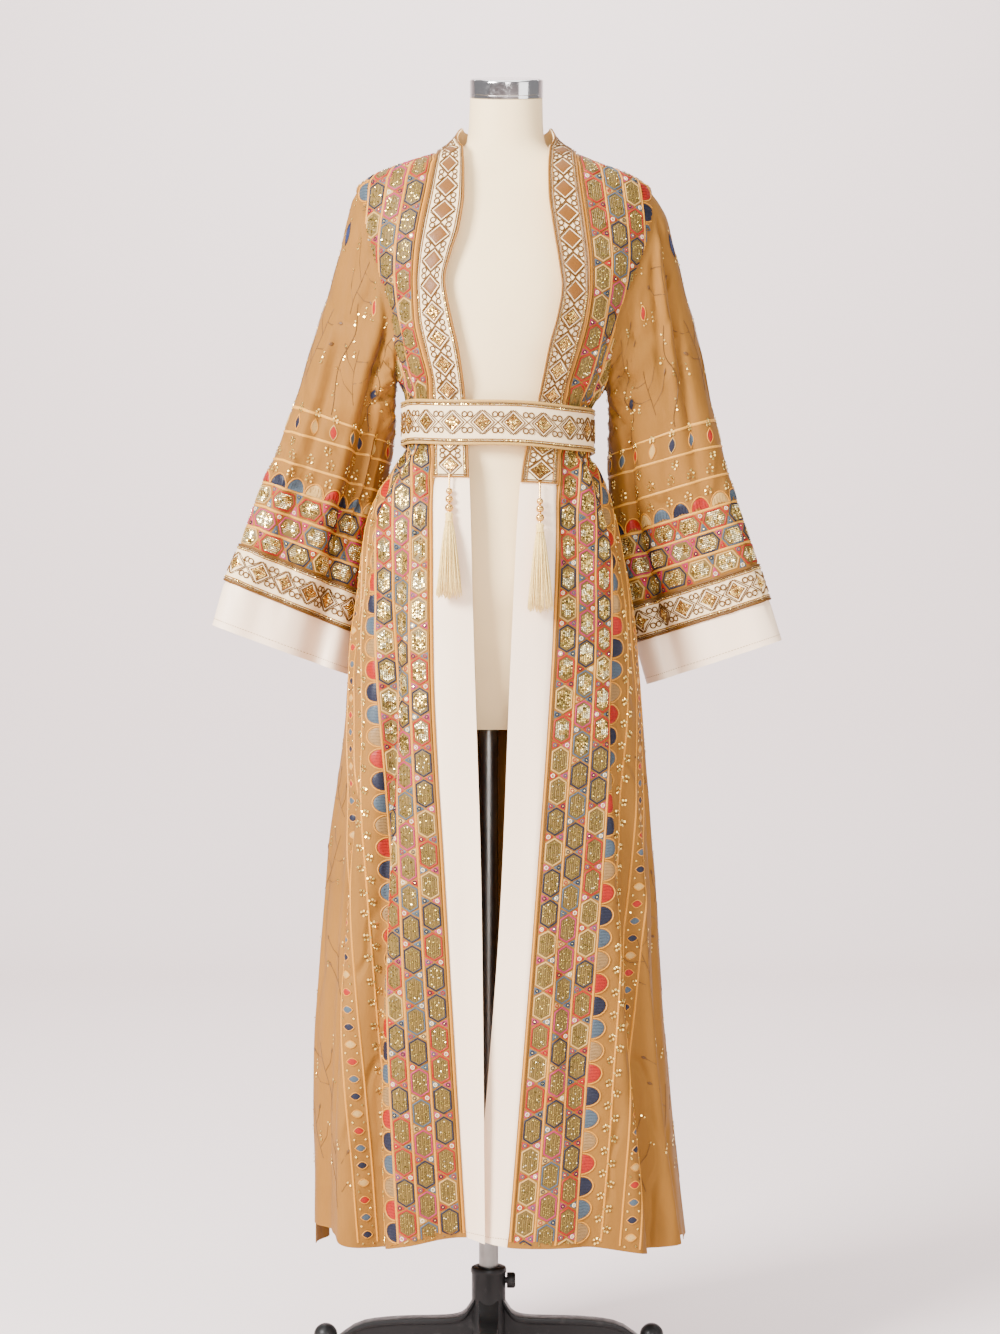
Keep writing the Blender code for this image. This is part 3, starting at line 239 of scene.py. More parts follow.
# Soft creases drawn one by one: each runs from (angle, level) at a lean, in degrees per metre of fall.
CREASES = [  # (angle, level, lean, half width in degrees, length, depth)
    (-30, 1.2, -6, 2.2, 0.16, -0.0047), (-57, 1.205, 4, 2.5, 0.22, 0.0053),
    (-76, 1.19, 10, 2.9, 0.3, -0.005), (30, 1.2, 8, 2.2, 0.18, -0.0047),
    (58, 1.195, -5, 2.5, 0.24, 0.0047), (74, 1.18, -8, 2.9, 0.26, -0.0053),
    (-44, 0.96, 3, 2.2, 0.66, 0.0058), (-57, 0.9, -4, 2.4, 0.62, -0.0085),
    (-84, 0.86, -3, 3, 0.6, 0.007), (16, 0.7, 3, 2.9, 0.4, 0.0047), (47, 0.96, 2, 2.2, 0.66, -0.007),
    (78, 0.9, 2, 2.8, 0.62, -0.0075), (62, 0.82, -1, 2.3, 0.52, 0.006),
    (112, 0.96, 3, 2.8, 0.66, -0.008), (130, 0.84, -4, 3, 0.6, 0.0074),
    (148, 1.02, 3, 2.7, 0.62, -0.0078), (165, 0.82, -2, 3.1, 0.56, -0.0086),
    (-178, 0.98, 2, 2.8, 0.7, 0.0076), (-160, 0.86, -3, 3, 0.6, 0.0078),
    (-142, 1, 4, 2.8, 0.64, -0.008), (-124, 0.82, -2, 3.2, 0.56, -0.008),
    (-108, 0.94, 3, 2.8, 0.6, 0.0074), (-60, 1.44, 26, 3.1, 0.1, -0.004),
    (-66, 1.4, 60, 2.5, 0.07, 0.0037), (62, 1.435, -30, 3.1, 0.1, -0.004),
    (66, 1.395, -60, 2.5, 0.07, 0.0037), (122, 1.45, 90, 3.4, 0.14, -0.0047),
    (138, 1.42, 60, 3.4, 0.12, 0.004), (-124, 1.455, -90, 3.4, 0.14, -0.0047),
    (-140, 1.415, -55, 3.4, 0.12, 0.004),
]
# The same for the sleeves, in shares of the ring and of the sleeve's length.
ARM_CREASES = {  # (share round, along, lean, half width, length, depth)
    "right": [
        (0.262, -0.16, 0.03, 0.018, 1.12, 0.0058), (0.306, -0.14, 0.02, 0.014, 1.12, -0.012),
        (0.35, -0.06, -0.1, 0.01, 0.3, -0.0046), (0.215, -0.05, 0.1, 0.011, 0.26, -0.004),
        (0.12, 0, 0.12, 0.012, 0.3, -0.0042), (0.352, 0.22, 0, 0.014, 0.7, 0.005),
        (0.385, 0.08, -0.42, 0.012, 0.26, -0.008), (0.425, 0.12, -0.5, 0.011, 0.26, 0.0056),
        (0.45, 0.16, -0.52, 0.011, 0.28, -0.008), (0.47, 0.27, -0.42, 0.012, 0.26, 0.0052),
        (0.4, 0.36, -0.12, 0.013, 0.5, -0.0066), (0.17, 0.26, 0.05, 0.018, 0.66, -0.0056),
        (0.135, 0.2, 0.04, 0.016, 0.66, 0.004), (0.09, 0.42, 0.03, 0.017, 0.56, -0.004),
        (0.225, 0.5, 0.02, 0.014, 0.5, -0.005), (0.59, 0.18, 0.4, 0.016, 0.34, -0.0076),
        (0.665, 0.3, 0.15, 0.022, 0.6, 0.0058), (0.73, 0.46, 0.05, 0.02, 0.5, -0.0056),
        (0.88, 0.3, -0.1, 0.022, 0.5, 0.0046),
    ],
    "left": [
        (0, -0.1, 0, 0.13, 0.86, 0.0062), (0.095, -0.1, 0.1, 0.014, 0.78, -0.0098),
        (0.137, -0.1, 0.1, 0.016, 0.8, 0.006), (0.245, -0.06, 0.14, 0.01, 0.3, -0.0044),
        (0.31, -0.04, -0.12, 0.01, 0.32, -0.005), (0.18, 0.02, 0.1, 0.011, 0.34, -0.0044),
        (0.405, 0.1, -0.45, 0.012, 0.28, -0.008), (0.45, 0.14, -0.5, 0.011, 0.28, 0.0054),
        (0.475, 0.2, -0.42, 0.011, 0.3, -0.008), (0.37, 0.34, -0.06, 0.015, 0.64, -0.008),
        (0.325, 0.36, -0.02, 0.016, 0.6, 0.0048), (0.25, 0.44, 0.02, 0.017, 0.54, -0.0052),
        (0.2, 0.52, -0.03, 0.015, 0.48, 0.0044), (0.055, 0.56, 0, 0.015, 0.42, -0.0044),
        (0.575, 0.2, 0.36, 0.016, 0.32, -0.0072), (0.69, 0.28, 0.1, 0.022, 0.56, 0.0056),
        (0.78, 0.5, 0.03, 0.02, 0.46, -0.0054), (0.9, 0.26, -0.08, 0.022, 0.52, -0.0046),
    ],
}
BELT_BUCKLES = [  # soft waves where the band is tied in: (angle, half width, depth)
    (-84, 3, 0.0016), (-76, 3, -0.0014), (-92, 3.5, -0.0012), (88, 3.5, 0.0014), (97, 3, -0.0012),
    (150, 4, 0.001), (-145, 4, -0.001),
]

TASSELS = {  # hung under the front trim's ends; heights of the cord, its beads, the head and the tip
    "right": {"x": -0.0620, "cord": 1.206, "beads": (1.184, 1.1735, 1.162), "head": 1.156,
              "head_end": 1.1425, "tip": 1.043},
    "left": {"x": 0.0560, "cord": 1.199, "beads": (1.1745, 1.1645, 1.153), "head": 1.1455,
             "head_end": 1.1325, "tip": 1.029},
}
BEAD_RADII = (0.0044, 0.0052, 0.0056)
CORD_RADIUS = 0.0014
TASSEL_HEAD_RADIUS = 0.0056
TASSEL_SPREAD = 0.0185

SLEEVE_LINES = {  # heights at the outer edge of the sleeves' satin lines, from the highest
    "right": (1.3141, 1.2816, 1.2448, 1.2124, 1.1827, 1.1543),
    "left": (1.2960, 1.2615, 1.2245, 1.1867, 1.1597, 1.1327),
}
CELL = 0.0395                # pitch of the hexagons along their column
COLUMN = 0.0280              # and from one column to the next
BORDER = 0.0035              # middle of the border line, from the panel's edge
HEX_HALF = (0.0106, 0.0174)  # half width and half height of a hexagon's outline
LINE_WIDTH = 0.0033
SCALLOP_PITCH = 0.0290
LEAF_PITCH = 0.0225
DIAMOND_PITCH = 0.0385
DIAMOND_HALF = 0.0124

# Thread and sequin colours, and a pale near-white sequin tint that paints glints.
NAVY, RED, PINK = (0.014, 0.015, 0.030), (0.34, 0.012, 0.005), (0.37, 0.017, 0.076)
BLUE, CREAM, PEACH = (0.062, 0.086, 0.108), (0.52, 0.30, 0.080), (0.58, 0.235, 0.020)
BEIGE, BLACK, STEM = (0.28, 0.155, 0.052), (0.016, 0.014, 0.014), (0.12, 0.050, 0.011)
ROYAL, SHELL, SAND = (0.020, 0.028, 0.095), (0.80, 0.66, 0.46), (0.62, 0.285, 0.036)
CORD_GOLD, BRONZE, TAN_THREAD = (0.130, 0.052, 0.006), (0.185, 0.067, 0.009), (0.285, 0.115, 0.014)
SEQUIN_GOLD, SEQUIN_OLIVE, SEQUIN_COPPER = (0.92, 0.65, 0.20), (0.46, 0.33, 0.085), (0.80, 0.44, 0.125)
# the first is a painted glint, a pale tint for sequins that should read as catching the lamps; the second is
# the hexagons' olive fill
PAINTED_GLINT, OLIVE = (1.0, 0.86, 0.50), (0.158, 0.095, 0.018)


def ramp(value, low, high):
    """Smooth step from 0 at low to 1 at high; low may be above high."""
    f = np.clip((value - low) / (high - low), 0.0, 1.0)
    return f * f * (3.0 - 2.0 * f)


def bell(distance):
    return np.exp(-distance * distance)


def angle_between(angle, centre):
    return (angle - centre + 180.0) % 360.0 - 180.0


def signed_power(value, power):
    return np.sign(value) * np.abs(value) ** power


def unit(vectors):
    return vectors / np.maximum(np.linalg.norm(vectors, axis=-1, keepdims=True), 1e-12)


def stacked(*parts):
    """One grid of points or numbers from grids of their coordinates."""
    return np.stack(np.broadcast_arrays(*parts), axis=-1)


def surface_normals(place, a, b, step_a, step_b):
    """Unit normals of place(a, b) by differences."""
    across = place(a + step_a, b) - place(a - step_a, b)
    along = place(a, b + step_b) - place(a, b - step_b)
    return unit(np.cross(across, along))


def arc_lengths(points, axis=0):
    """Running length along an axis of a grid of points."""
    steps = np.linalg.norm(np.diff(points, axis=axis), axis=-1)
    start = np.zeros_like(np.take(steps, [0], axis=axis))
    return np.concatenate([start, np.cumsum(steps, axis=axis)], axis=axis)


# ---- the worn cloak's surface --------------------------------------------------------------------
def section(angle, level, push):
    """x and y of the cloak's rounded section at a level, pushed out by so much."""
    side, forward = np.sin(np.radians(angle)), np.cos(np.radians(angle))
    right, left = BODY("right_x", level), BODY("left_x", level)
    depth = np.where(forward > 0.0, -BODY("front_y", level), BODY("back_y", level))
    x = (right + left) / 2.0 + ((left - right) / 2.0 + push) * signed_power(side, 2.0 / ROUNDNESS)
    return x, -(depth + push) * signed_power(forward, 2.0 / ROUNDNESS)


def body_point(angle, level):
    """A point of the cloak's outer face, before its creases, at an angle and a level. The level is
    its height but near the belt, which sits askew and lifts the cloth with it."""
    push = 0.0
    for centre, width, size, top, growth in FOLDS:
        amount = np.clip((top - level) / (top - 0.2), 0.0, 1.0) ** growth
        push = push + size * amount * bell(angle_between(angle, centre) / width)
    belt_pull = ramp(level, 1.02, 1.215) * ramp(level, 1.2445, 1.230)
    belt_pull = belt_pull + 0.8 * ramp(level, 1.3125, 1.335) * ramp(level, 1.43, 1.34)
    for centre, width, size in GATHERS:
        push = push + size * belt_pull * bell(angle_between(angle, centre) / width)
    near_belt = ramp(level, 1.09, 1.20) * ramp(level, 1.43, 1.33)
    lifted = level + BELT_TILT * (1.0 - np.sin(np.radians(angle))) / 2.0 * near_belt
    return stacked(*section(angle, level, push), lifted)


def angle_at_x(x, z):
    """The angle, in front, at which the body's section passes through x."""
    right, left = BODY("right_x", z), BODY("left_x", z)
    share = np.clip((x - (right + left) / 2.0) / ((left - right) / 2.0), -1.0, 1.0)
    return np.degrees(np.arcsin(signed_power(share, ROUNDNESS / 2.0)))


def front_point(x, z):
    return body_point(angle_at_x(x, z), z)


def lasting(run, start, length):
    """A crease's strength along its run."""
    return ramp(run, start, 0.25 * length) * ramp(run, length, 0.6 * length)


def crease_push(angle, level):
    """How far the small creases move the cloth out (plus) or in."""
    push, turn = 0.0, np.radians(angle)
    for centre, top, lean, width, length, depth in CREASES:
        fall = top - level
        push = push + (depth * lasting(fall, -0.02, length)
                       * bell(angle_between(angle, centre + lean * fall) / width))
    ripple = np.sin(9.0 * turn + 5.0 * level) * np.sin(3.7 * turn - 3.1 * level + 0.7)
    rumple = np.sin(31.0 * level + 4.0 * turn) * np.sin(19.0 * level - 7.0 * turn)
    return push + 0.0016 * ripple * ramp(level, 1.15, 0.60) + 0.0005 * rumple


def cloth_point(angle, level, sway=0.0):
    """A point of the worn cloak's outer face, creases and all."""
    point = body_point(angle, level)
    belt_zone = ramp(level, 1.20, 1.235) * ramp(level, 1.345, 1.3125)
    push = crease_push(angle, level) * (1.0 - belt_zone)
    point[..., 0] += push * np.sin(np.radians(angle))
    point[..., 1] += sway - push * np.cos(np.radians(angle))
    return point


def front_sway(side, angle, level):
    """How far a front panel's edge is drawn back near the hem."""
    start = angle_at_x(EDGES[side]("panel", level), level)
    share = (angle - start) / np.where(np.abs(start) < 89.0, SIDES[side] * 90.0 - start, 1.0)
    return BAND_WAVE(side + "_panel", level) * (1.0 - ramp(share, 0.0, 0.30))


def armhole_angle(turn):
    """Degrees from the front at which the armhole runs; turn is 0 at the shoulder, pi below."""
    return 90.0 - ARMHOLE_BITE * np.abs(np.sin(turn)) ** 0.8


def armhole_z(turn):
    return SHOULDER_Z + (UNDERARM_Z - SHOULDER_Z) * (1.0 - np.cos(turn)) / 2.0


def armhole_limit(level):
    """The angle that a front or back panel reaches at a level, from the middle towards the side line."""
    share = np.clip((SHOULDER_Z - level) / (SHOULDER_Z - UNDERARM_Z), 0.0, 1.0)
    limit = armhole_angle(np.arccos(1.0 - 2.0 * share))
    return np.where((level > UNDERARM_Z) & (level < SHOULDER_Z), limit, 90.0)


def chest_level(turn):
    """The front edge's level in the row of cloth that meets the armhole at this turn."""
    share = (turn / math.pi + (1.0 - np.cos(turn)) / 2.0) / 2.0
    return COLLAR_SEAM_Z + (UNDERARM_Z - COLLAR_SEAM_Z) * share


def sleeve_oval(side, along, turn):
    """A point of the sleeve's plain rings."""
    def edge(name):
        own = side + "_" + name
        return stacked(SLEEVE(own + "_x", along), SLEEVE(name + "_y", along), SLEEVE(own + "_z", along))

    outer = edge("outer")
    point = outer + (edge("inner") - outer) * ((1.0 - np.cos(turn)) / 2.0)[..., None]
    point[..., 1] -= SLEEVE("depth", along) * signed_power(np.sin(turn), 0.9)
    return point


def arm_push(side, along, turn):
    """How far the small creases move a sleeve's cloth out (plus) or in."""
    share, push = turn / (2.0 * math.pi), 0.0
    for centre, start, lean, width, length, depth in ARM_CREASES[side]:
        run = along - start
        gap = (share - centre - lean * run + 0.5) % 1.0 - 0.5
        push = push + depth * lasting(run, 0.0, length) * bell(gap / width)
    rumple = np.sin(41.0 * along + 5.0 * turn) * np.sin(23.0 * along - 3.0 * turn + 1.0)
    return (push * ramp(along, 0.015, 0.11)
            + 0.0010 * rumple * ramp(along, 0.02, 0.2) * ramp(along, 0.95, 0.6))


def arm_point(side, along, turn):
    """A point of a worn sleeve's outer face: along is 0 at the armhole and 1 at the hem, turn 0 at
    the outer edge, a quarter turn in front, half at the inner edge."""
    sign, shoulder = SIDES[side], 1.0 + np.maximum(np.cos(turn), 0.0)
    angle = armhole_angle(turn)
    angle = sign * np.where(np.sin(turn) >= 0.0, angle, 180.0 - angle)
    seam = body_point(angle, armhole_z(turn))
    creased = cloth_point(angle, armhole_z(turn)) - seam
    creased[..., 0] -= sign * SEAM_TUCK * shoulder
    seam[..., 0] += sign * ARMHOLE_GAP * shoulder
    start = sleeve_oval(side, np.zeros_like(along), turn)
    point = sleeve_oval(side, along, turn) + (1.0 - ramp(along, 0.0, 0.42))[..., None] * (seam - start)
    fold = 0.0
    for centre, width, size, begin, end in SLEEVE_CREASES:
        amount = ramp(along, begin, begin + 0.2) * (0.6 + 0.4 * ramp(along, end - 0.3, end))
        fold = fold + size * amount * bell((turn / (2.0 * math.pi) - centre) / width)
    point[..., 1] -= fold * np.sign(np.sin(turn))
    point = point + creased * (1.0 - ramp(along, 0.0, 0.05))[..., None]
    push = arm_push(side, along, turn)
    point[..., 0] += push * np.cos(turn) * sign
    point[..., 1] -= push * np.sin(turn)
    return point


def arm_normal(side, along, turn):
    across = arm_point(side, along, turn + 0.03) - arm_point(side, along, turn - 0.03)
    low, high = np.clip(along + 0.006, 0.0, 1.0), np.clip(along - 0.006, 0.0, 1.0)
    up = arm_point(side, high, turn) - arm_point(side, low, turn)
    return unit(-SIDES[side] * np.cross(across, up))


def belt_point(angle, share):
    """The belt's face at an angle; share is -0.5 at the lower edge and 0.5 at the upper."""
    lift = BELT_LIFT + 0.0008 * (1.0 - 4.0 * share * share)
    for centre, width, depth in BELT_BUCKLES:
        lift = lift + depth * bell(angle_between(angle, centre) / width) * (0.6 + 0.8 * np.abs(share))
    x, y = section(angle, BELT_MIDDLE_Z, lift)
    turn = np.radians(angle)
    z = BELT_MIDDLE_Z + BELT_TILT * (1.0 - np.sin(turn)) / 2.0 - 0.002 * np.cos(turn) + BELT_HEIGHT * share
    return stacked(x, y, z + 0.0009 * np.sin(5.0 * turn + 0.8))


# ---- pieces and meshes ---------------------------------------------------------------------------
MATERIALS = {}


def place_piece(thing, body="form", stands_for=None):
    """A piece rides on a body, and stands for the CAD node of its own name or of the one given."""
    bpy.context.scene.collection.objects.link(thing)
    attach(thing, body)
    node = stands_for or thing.name.lower()
    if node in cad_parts:
        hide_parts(node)
    return thing


def give_points(mesh, name, kind, field, values):
    """Gives each point of a mesh a value."""
    layer = mesh.attributes.new(name, kind, "POINT")
    layer.data.foreach_set(field, np.asarray(values, dtype=np.float32).ravel())


def give_tints(mesh, tints):
    give_points(mesh, "tint", "FLOAT_COLOR", "color", np.pad(tints, ((0, 0), (0, 1)), constant_values=1.0))


def mesh_piece(name, verts, faces, material, uv=None, tints=None, **place):
    """A piece from points and faces. uv is one pair for each corner, tints one colour a point."""
    mesh = bpy.data.meshes.new(name)
    mesh.from_pydata([tuple(v) for v in verts], [], [tuple(f) for f in faces])
    if uv is not None:
        mesh.uv_layers.new(name="UVMap").data.foreach_set("uv", np.asarray(uv, dtype=np.float32).ravel())
    if tints is not None:
        give_tints(mesh, tints)
    mesh.materials.append(MATERIALS[material])
    mesh.shade_smooth()
    return place_piece(bpy.data.objects.new(name, mesh), **place)


def skin(rows, columns, first=0, close_rows=False, close_columns=True):
    """Quads over rows of points; either way may close on itself."""
    def spans(count, closed):
        return [(i, (i + 1) % count) for i in range(count if closed else count - 1)]

    return [tuple(first + row * columns + column for row, column in ((i, j), (i, k), (n, k), (n, j)))
            for i, n in spans(rows, close_rows) for j, k in spans(columns, close_columns)]


def capped(rows, columns, first=0):
    """Quads over a stack of rings, with a cap at each end."""
    last = first + (rows - 1) * columns
    return skin(rows, columns, first) + [tuple(range(first, first + columns))[::-1],
                                         tuple(range(last, last + columns))]


def face_outwards(thing):
    shape = bmesh.new()
    shape.from_mesh(thing.data)
    bmesh.ops.recalc_face_normals(shape, faces=shape.faces)
    shape.to_mesh(thing.data)
    shape.free()


def circle(radius, count, z=0.0):
    turns = [2 * math.pi * j / count for j in range(count)]
    return [Vector((radius * math.cos(turn), radius * math.sin(turn), z)) for turn in turns]


def arc(radius, start, end, step, middle=(0.0, 0.0)):
    """Points of an arc, by degrees."""
    tilts = [math.radians(degrees) for degrees in range(start, end, step)]
    return [(middle[0] + radius * math.cos(tilt), middle[1] + radius * math.sin(tilt)) for tilt in tilts]


def loft(name, rings, material, hollow=False, **place):
    """A solid through rings of points, capped at both ends, or hollow where the last meets the first."""
    rows, columns = len(rings), len(rings[0])
    faces = skin(rows, columns, close_rows=True) if hollow else capped(rows, columns)
    thing = mesh_piece(name, [p for ring in rings for p in ring], faces, material, **place)
    face_outwards(thing)
    thing.data.set_sharp_from_angle(angle=math.radians(35.0))
    return thing


def turned(name, profile, segments, material, at=Matrix.Identity(4), **more):
    """A solid turned about Z from (radius, z) points."""
    return loft(name, [[at @ p for p in circle(r, segments, z)] for r, z in profile], material, **more)


def made_real(thing, modifier):
    """Gives a piece the mesh that its modifier makes."""
    bpy.context.view_layer.update()
    graph = bpy.context.evaluated_depsgraph_get()
    thing_now = thing.evaluated_get(graph)
    mesh = bpy.data.meshes.new_from_object(thing_now, preserve_all_data_layers=True, depsgraph=graph)
    thing.modifiers.remove(modifier)
    thing.data = mesh
    return mesh


def smooth_but_edges(mesh):
    mesh.shade_smooth()
    mesh.set_sharp_from_angle(angle=math.radians(40.0))


def cloth_shell(name, shown, normals, wall=CLOTH, material="cloth", closed=False):
    """A thin closed cloth. shown is its outer face [row, column], and the wall goes in."""
    rows, columns, _ = shown.shape
    behind = rows * columns
    index = np.arange(behind).reshape(rows, columns)
    flat = np.stack([arc_lengths(shown, axis=1), arc_lengths(shown, axis=0)], axis=-1)
    if closed:
        index, flat = (np.concatenate([grid, grid[:, :1]], axis=1) for grid in (index, flat))
        flat[:, -1, 0] = flat[:, :-1, 0].max()

    def quads(grid):
        return np.stack([grid[:-1, :-1], grid[:-1, 1:], grid[1:, 1:], grid[1:, :-1]], axis=2)

    face, uv = quads(index).reshape(-1, 4), quads(flat).reshape(-1, 4, 2)
    faces, uvs = [face, face[:, ::-1] + behind], [uv, uv[:, ::-1]]
    edges = [(index[0], flat[0], 1), (index[-1], flat[-1], -1)]
    if not closed:
        edges += [(index[:, 0], flat[:, 0], -1), (index[:, -1], flat[:, -1], 1)]
    for run, place, order in edges:
        a, b = run[:-1], run[1:]
        faces.append(np.stack([behind + a, behind + b, b, a][::order], axis=1))
        uvs.append(np.repeat(place[:-1, None], 4, axis=1))
    verts = np.concatenate([shown.reshape(-1, 3), (shown - normals * wall).reshape(-1, 3)])
    thing = mesh_piece(name, verts, np.concatenate(faces), material, uv=np.concatenate(uvs))
    thing.data.set_sharp_from_angle(angle=math.radians(60.0))


# ---- materials -----------------------------------------------------------------------------------
def add_node(tree, kind, settings=None, inputs=None):
    """A node with its settings, and a value or another node's socket on each named input."""
    made = tree.nodes.new(kind)
    for name, value in (settings or {}).items():
        setattr(made, name, value)
    for name, value in (inputs or {}).items():
        if isinstance(value, bpy.types.NodeSocket):
            tree.links.new(value, made.inputs[name])
        else:
            made.inputs[name].default_value = value
    return made


class Shade:
    """One material and its nodes. Its methods give sockets, and noises read object coordinates."""

    def __init__(self, name, **principled):
        self.material = bpy.data.materials.new(name)
        self.material.use_nodes = True
        self.tree = self.material.node_tree
        self.shader = self.tree.nodes["Principled BSDF"]
        self.noises = {}
        for socket, value in principled.items():
            self.shader.inputs[socket.replace("_", " ")].default_value = value

    def node(self, kind, settings=None, inputs=None, output=0):
        return add_node(self.tree, kind, settings, inputs).outputs[output]

    def set(self, **sockets):
        for name, value in sockets.items():
            self.tree.links.new(value, self.shader.inputs[name.replace("_", " ")])

    def math(self, operation, *values):
        return self.node("ShaderNodeMath", {"operation": operation}, dict(enumerate(values)))

    def noise(self, scale, detail=3.0, rough=0.5, stretch=None):
        """Noise by its scale, or by a scale along each axis."""
        key = (scale, detail, rough, stretch)
        if key not in self.noises:
            place = self.node("ShaderNodeTexCoord", output="Object")
            if stretch:
                place = self.node("ShaderNodeMapping", inputs={"Vector": place, "Scale": stretch})
            self.noises[key] = self.node("ShaderNodeTexNoise", inputs={
                "Vector": place, "Scale": scale, "Detail": detail, "Roughness": rough})
        return self.noises[key]

    def mix(self, factor, low, high, blend="MIX"):
        """A colour from low to high as factor goes from 0 to 1."""
        low, high = ((*colour, 1.0) if isinstance(colour, tuple) else colour for colour in (low, high))
        return self.node("ShaderNodeMix", {"data_type": "RGBA", "blend_type": blend},
                         {0: factor, 6: low, 7: high}, output=2)

    def spread(self, value, low, high, to_low=0.0, to_high=1.0):
        return self.node("ShaderNodeMapRange", {"interpolation_type": "SMOOTHSTEP"}, {
            "Value": value, "From Min": low, "From Max": high, "To Min": to_low, "To Max": to_high})

    def bump(self, height, distance, strength, **below):
        return self.node("ShaderNodeBump", inputs={
            "Height": height, "Distance": distance, "Strength": strength, **below})

    def weave(self, pitch):
        """The height of over-and-under threads, from the cut's own layout in metres."""
        cut = self.node("ShaderNodeUVMap", {"uv_map": "UVMap"})
        waves = [self.math("SINE", self.math("MULTIPLY", thread, 2.0 * math.pi / pitch)) for thread in
                 add_node(self.tree, "ShaderNodeSeparateXYZ", inputs={"Vector": cut}).outputs[:2]]
        return self.math("ADD", *(self.math("MULTIPLY", wave, 0.5) for wave in waves))


def darker(colour, by):
    return tuple(max(0.0, c * by) for c in colour)


def finish(name, colours, mottle, span, share, grain, gloss, bump=None, wear=0.0, blend="MIX", **principled):
    """A finish mottled between two colours, with a grain in its roughness and on its surface.

    mottle and grain are noises. span is where the mottling starts and ends, and share how much of
    the second colour it brings. gloss is where the grain starts and ends and the roughness there,
    with wear more where it is mottled most. bump is the surface's noise, distance and strength.
    """
    shade = Shade(name, **principled)
    mottling = shade.noise(*mottle)
    if colours[0] == "tint":
        colours = (shade.node("ShaderNodeAttribute", {"attribute_name": "tint"}), colours[1])
    rough = shade.spread(shade.noise(*grain), *gloss)
    if wear:
        rough = shade.math("ADD", rough, shade.spread(mottling, 0.5, 0.8, 0.0, wear))
    factor = shade.spread(mottling, *span, 0.0, share)
    shade.set(Base_Color=shade.mix(factor, *colours, blend), Roughness=rough)
    if bump:
        shade.set(Normal=shade.bump(shade.noise(*bump[0]), *bump[1:]))
    return shade


def cloth_finish(name, colour, roughness, sheen, slub, rumple, crush):
    """Fine plain cloth: weave, slubs, soft rumples and uneven colour."""
    shade = Shade(name, Sheen_Weight=sheen, Sheen_Roughness=0.4, Specular_IOR_Level=0.12)
    uneven = shade.spread(shade.noise(7.0, 4.0, 0.55), 0.35, 0.68)
    base = shade.mix(uneven, darker(colour, 0.92), darker(colour, 1.05))
    threads = shade.noise(1.0, 2.0, stretch=(420.0, 420.0, 26.0))
    crossing = shade.noise(1.0, 2.0, stretch=(40.0, 40.0, 700.0))
    for slubs, low, by in ((threads, 0.55, 0.72), (crossing, 0.58, 1.25)):
        base = shade.mix(shade.spread(slubs, low, low + 0.20, 0.0, slub), base, darker(colour, by))
    ridges = shade.math("MULTIPLY", shade.noise(10.0, 2.0, 0.45, (1.0, 1.0, 0.5)), 2.0)
    ridges = shade.math("ABSOLUTE", shade.math("SUBTRACT", ridges, 1.0))
    crushed = shade.bump(shade.spread(ridges, 0.0, 0.13), crush, 0.8)
    soft = shade.bump(shade.noise(30.0, 3.0, 0.5, (1.0, 1.0, 0.42)), rumple, 0.6, Normal=crushed)
    shade.set(Base_Color=base, Roughness=shade.spread(threads, 0.3, 0.7, roughness - 0.06, roughness + 0.05),
              Normal=shade.bump(shade.weave(0.0011), 0.00010, 0.5, Normal=soft))
    return shade


def satin_finish(name, colour):
    """Smooth satin: long soft sheen streaks and very faint rumples."""
    shade = finish(name, (darker(colour, 0.955), colour), (9.0, 3.0, 0.5, (1.0, 1.0, 0.3)), (0.3, 0.7), 1.0,
                   (1.0, 2.0, 0.5, (300.0, 300.0, 12.0)), (0.3, 0.7, 0.36, 0.47), Sheen_Weight=0.10,
                   Sheen_Roughness=0.35, Specular_IOR_Level=0.45)
    rumple = shade.bump(shade.noise(16.0, 3.0, 0.5, (1.0, 1.0, 0.5)), 0.0016, 0.6)
    shade.set(Normal=shade.bump(shade.weave(0.0007), 0.00004, 0.4, Normal=rumple))
    return shade


def metal_finish(name, colour, roughness, stretch=(1.0, 1.0, 1.0)):
    """Turned or cast metal with fine grain and a few handling marks."""
    grain = (240.0, 3.0, 0.5, stretch)
    return finish(name, (colour, darker(colour, 0.72)), (34.0, 4.0, 0.6), (0.45, 0.75), 0.35, grain,
                  (0.3, 0.7, roughness - 0.04, roughness + 0.08), (grain, 0.00004, 0.4), wear=0.10,
                  Metallic=1.0)


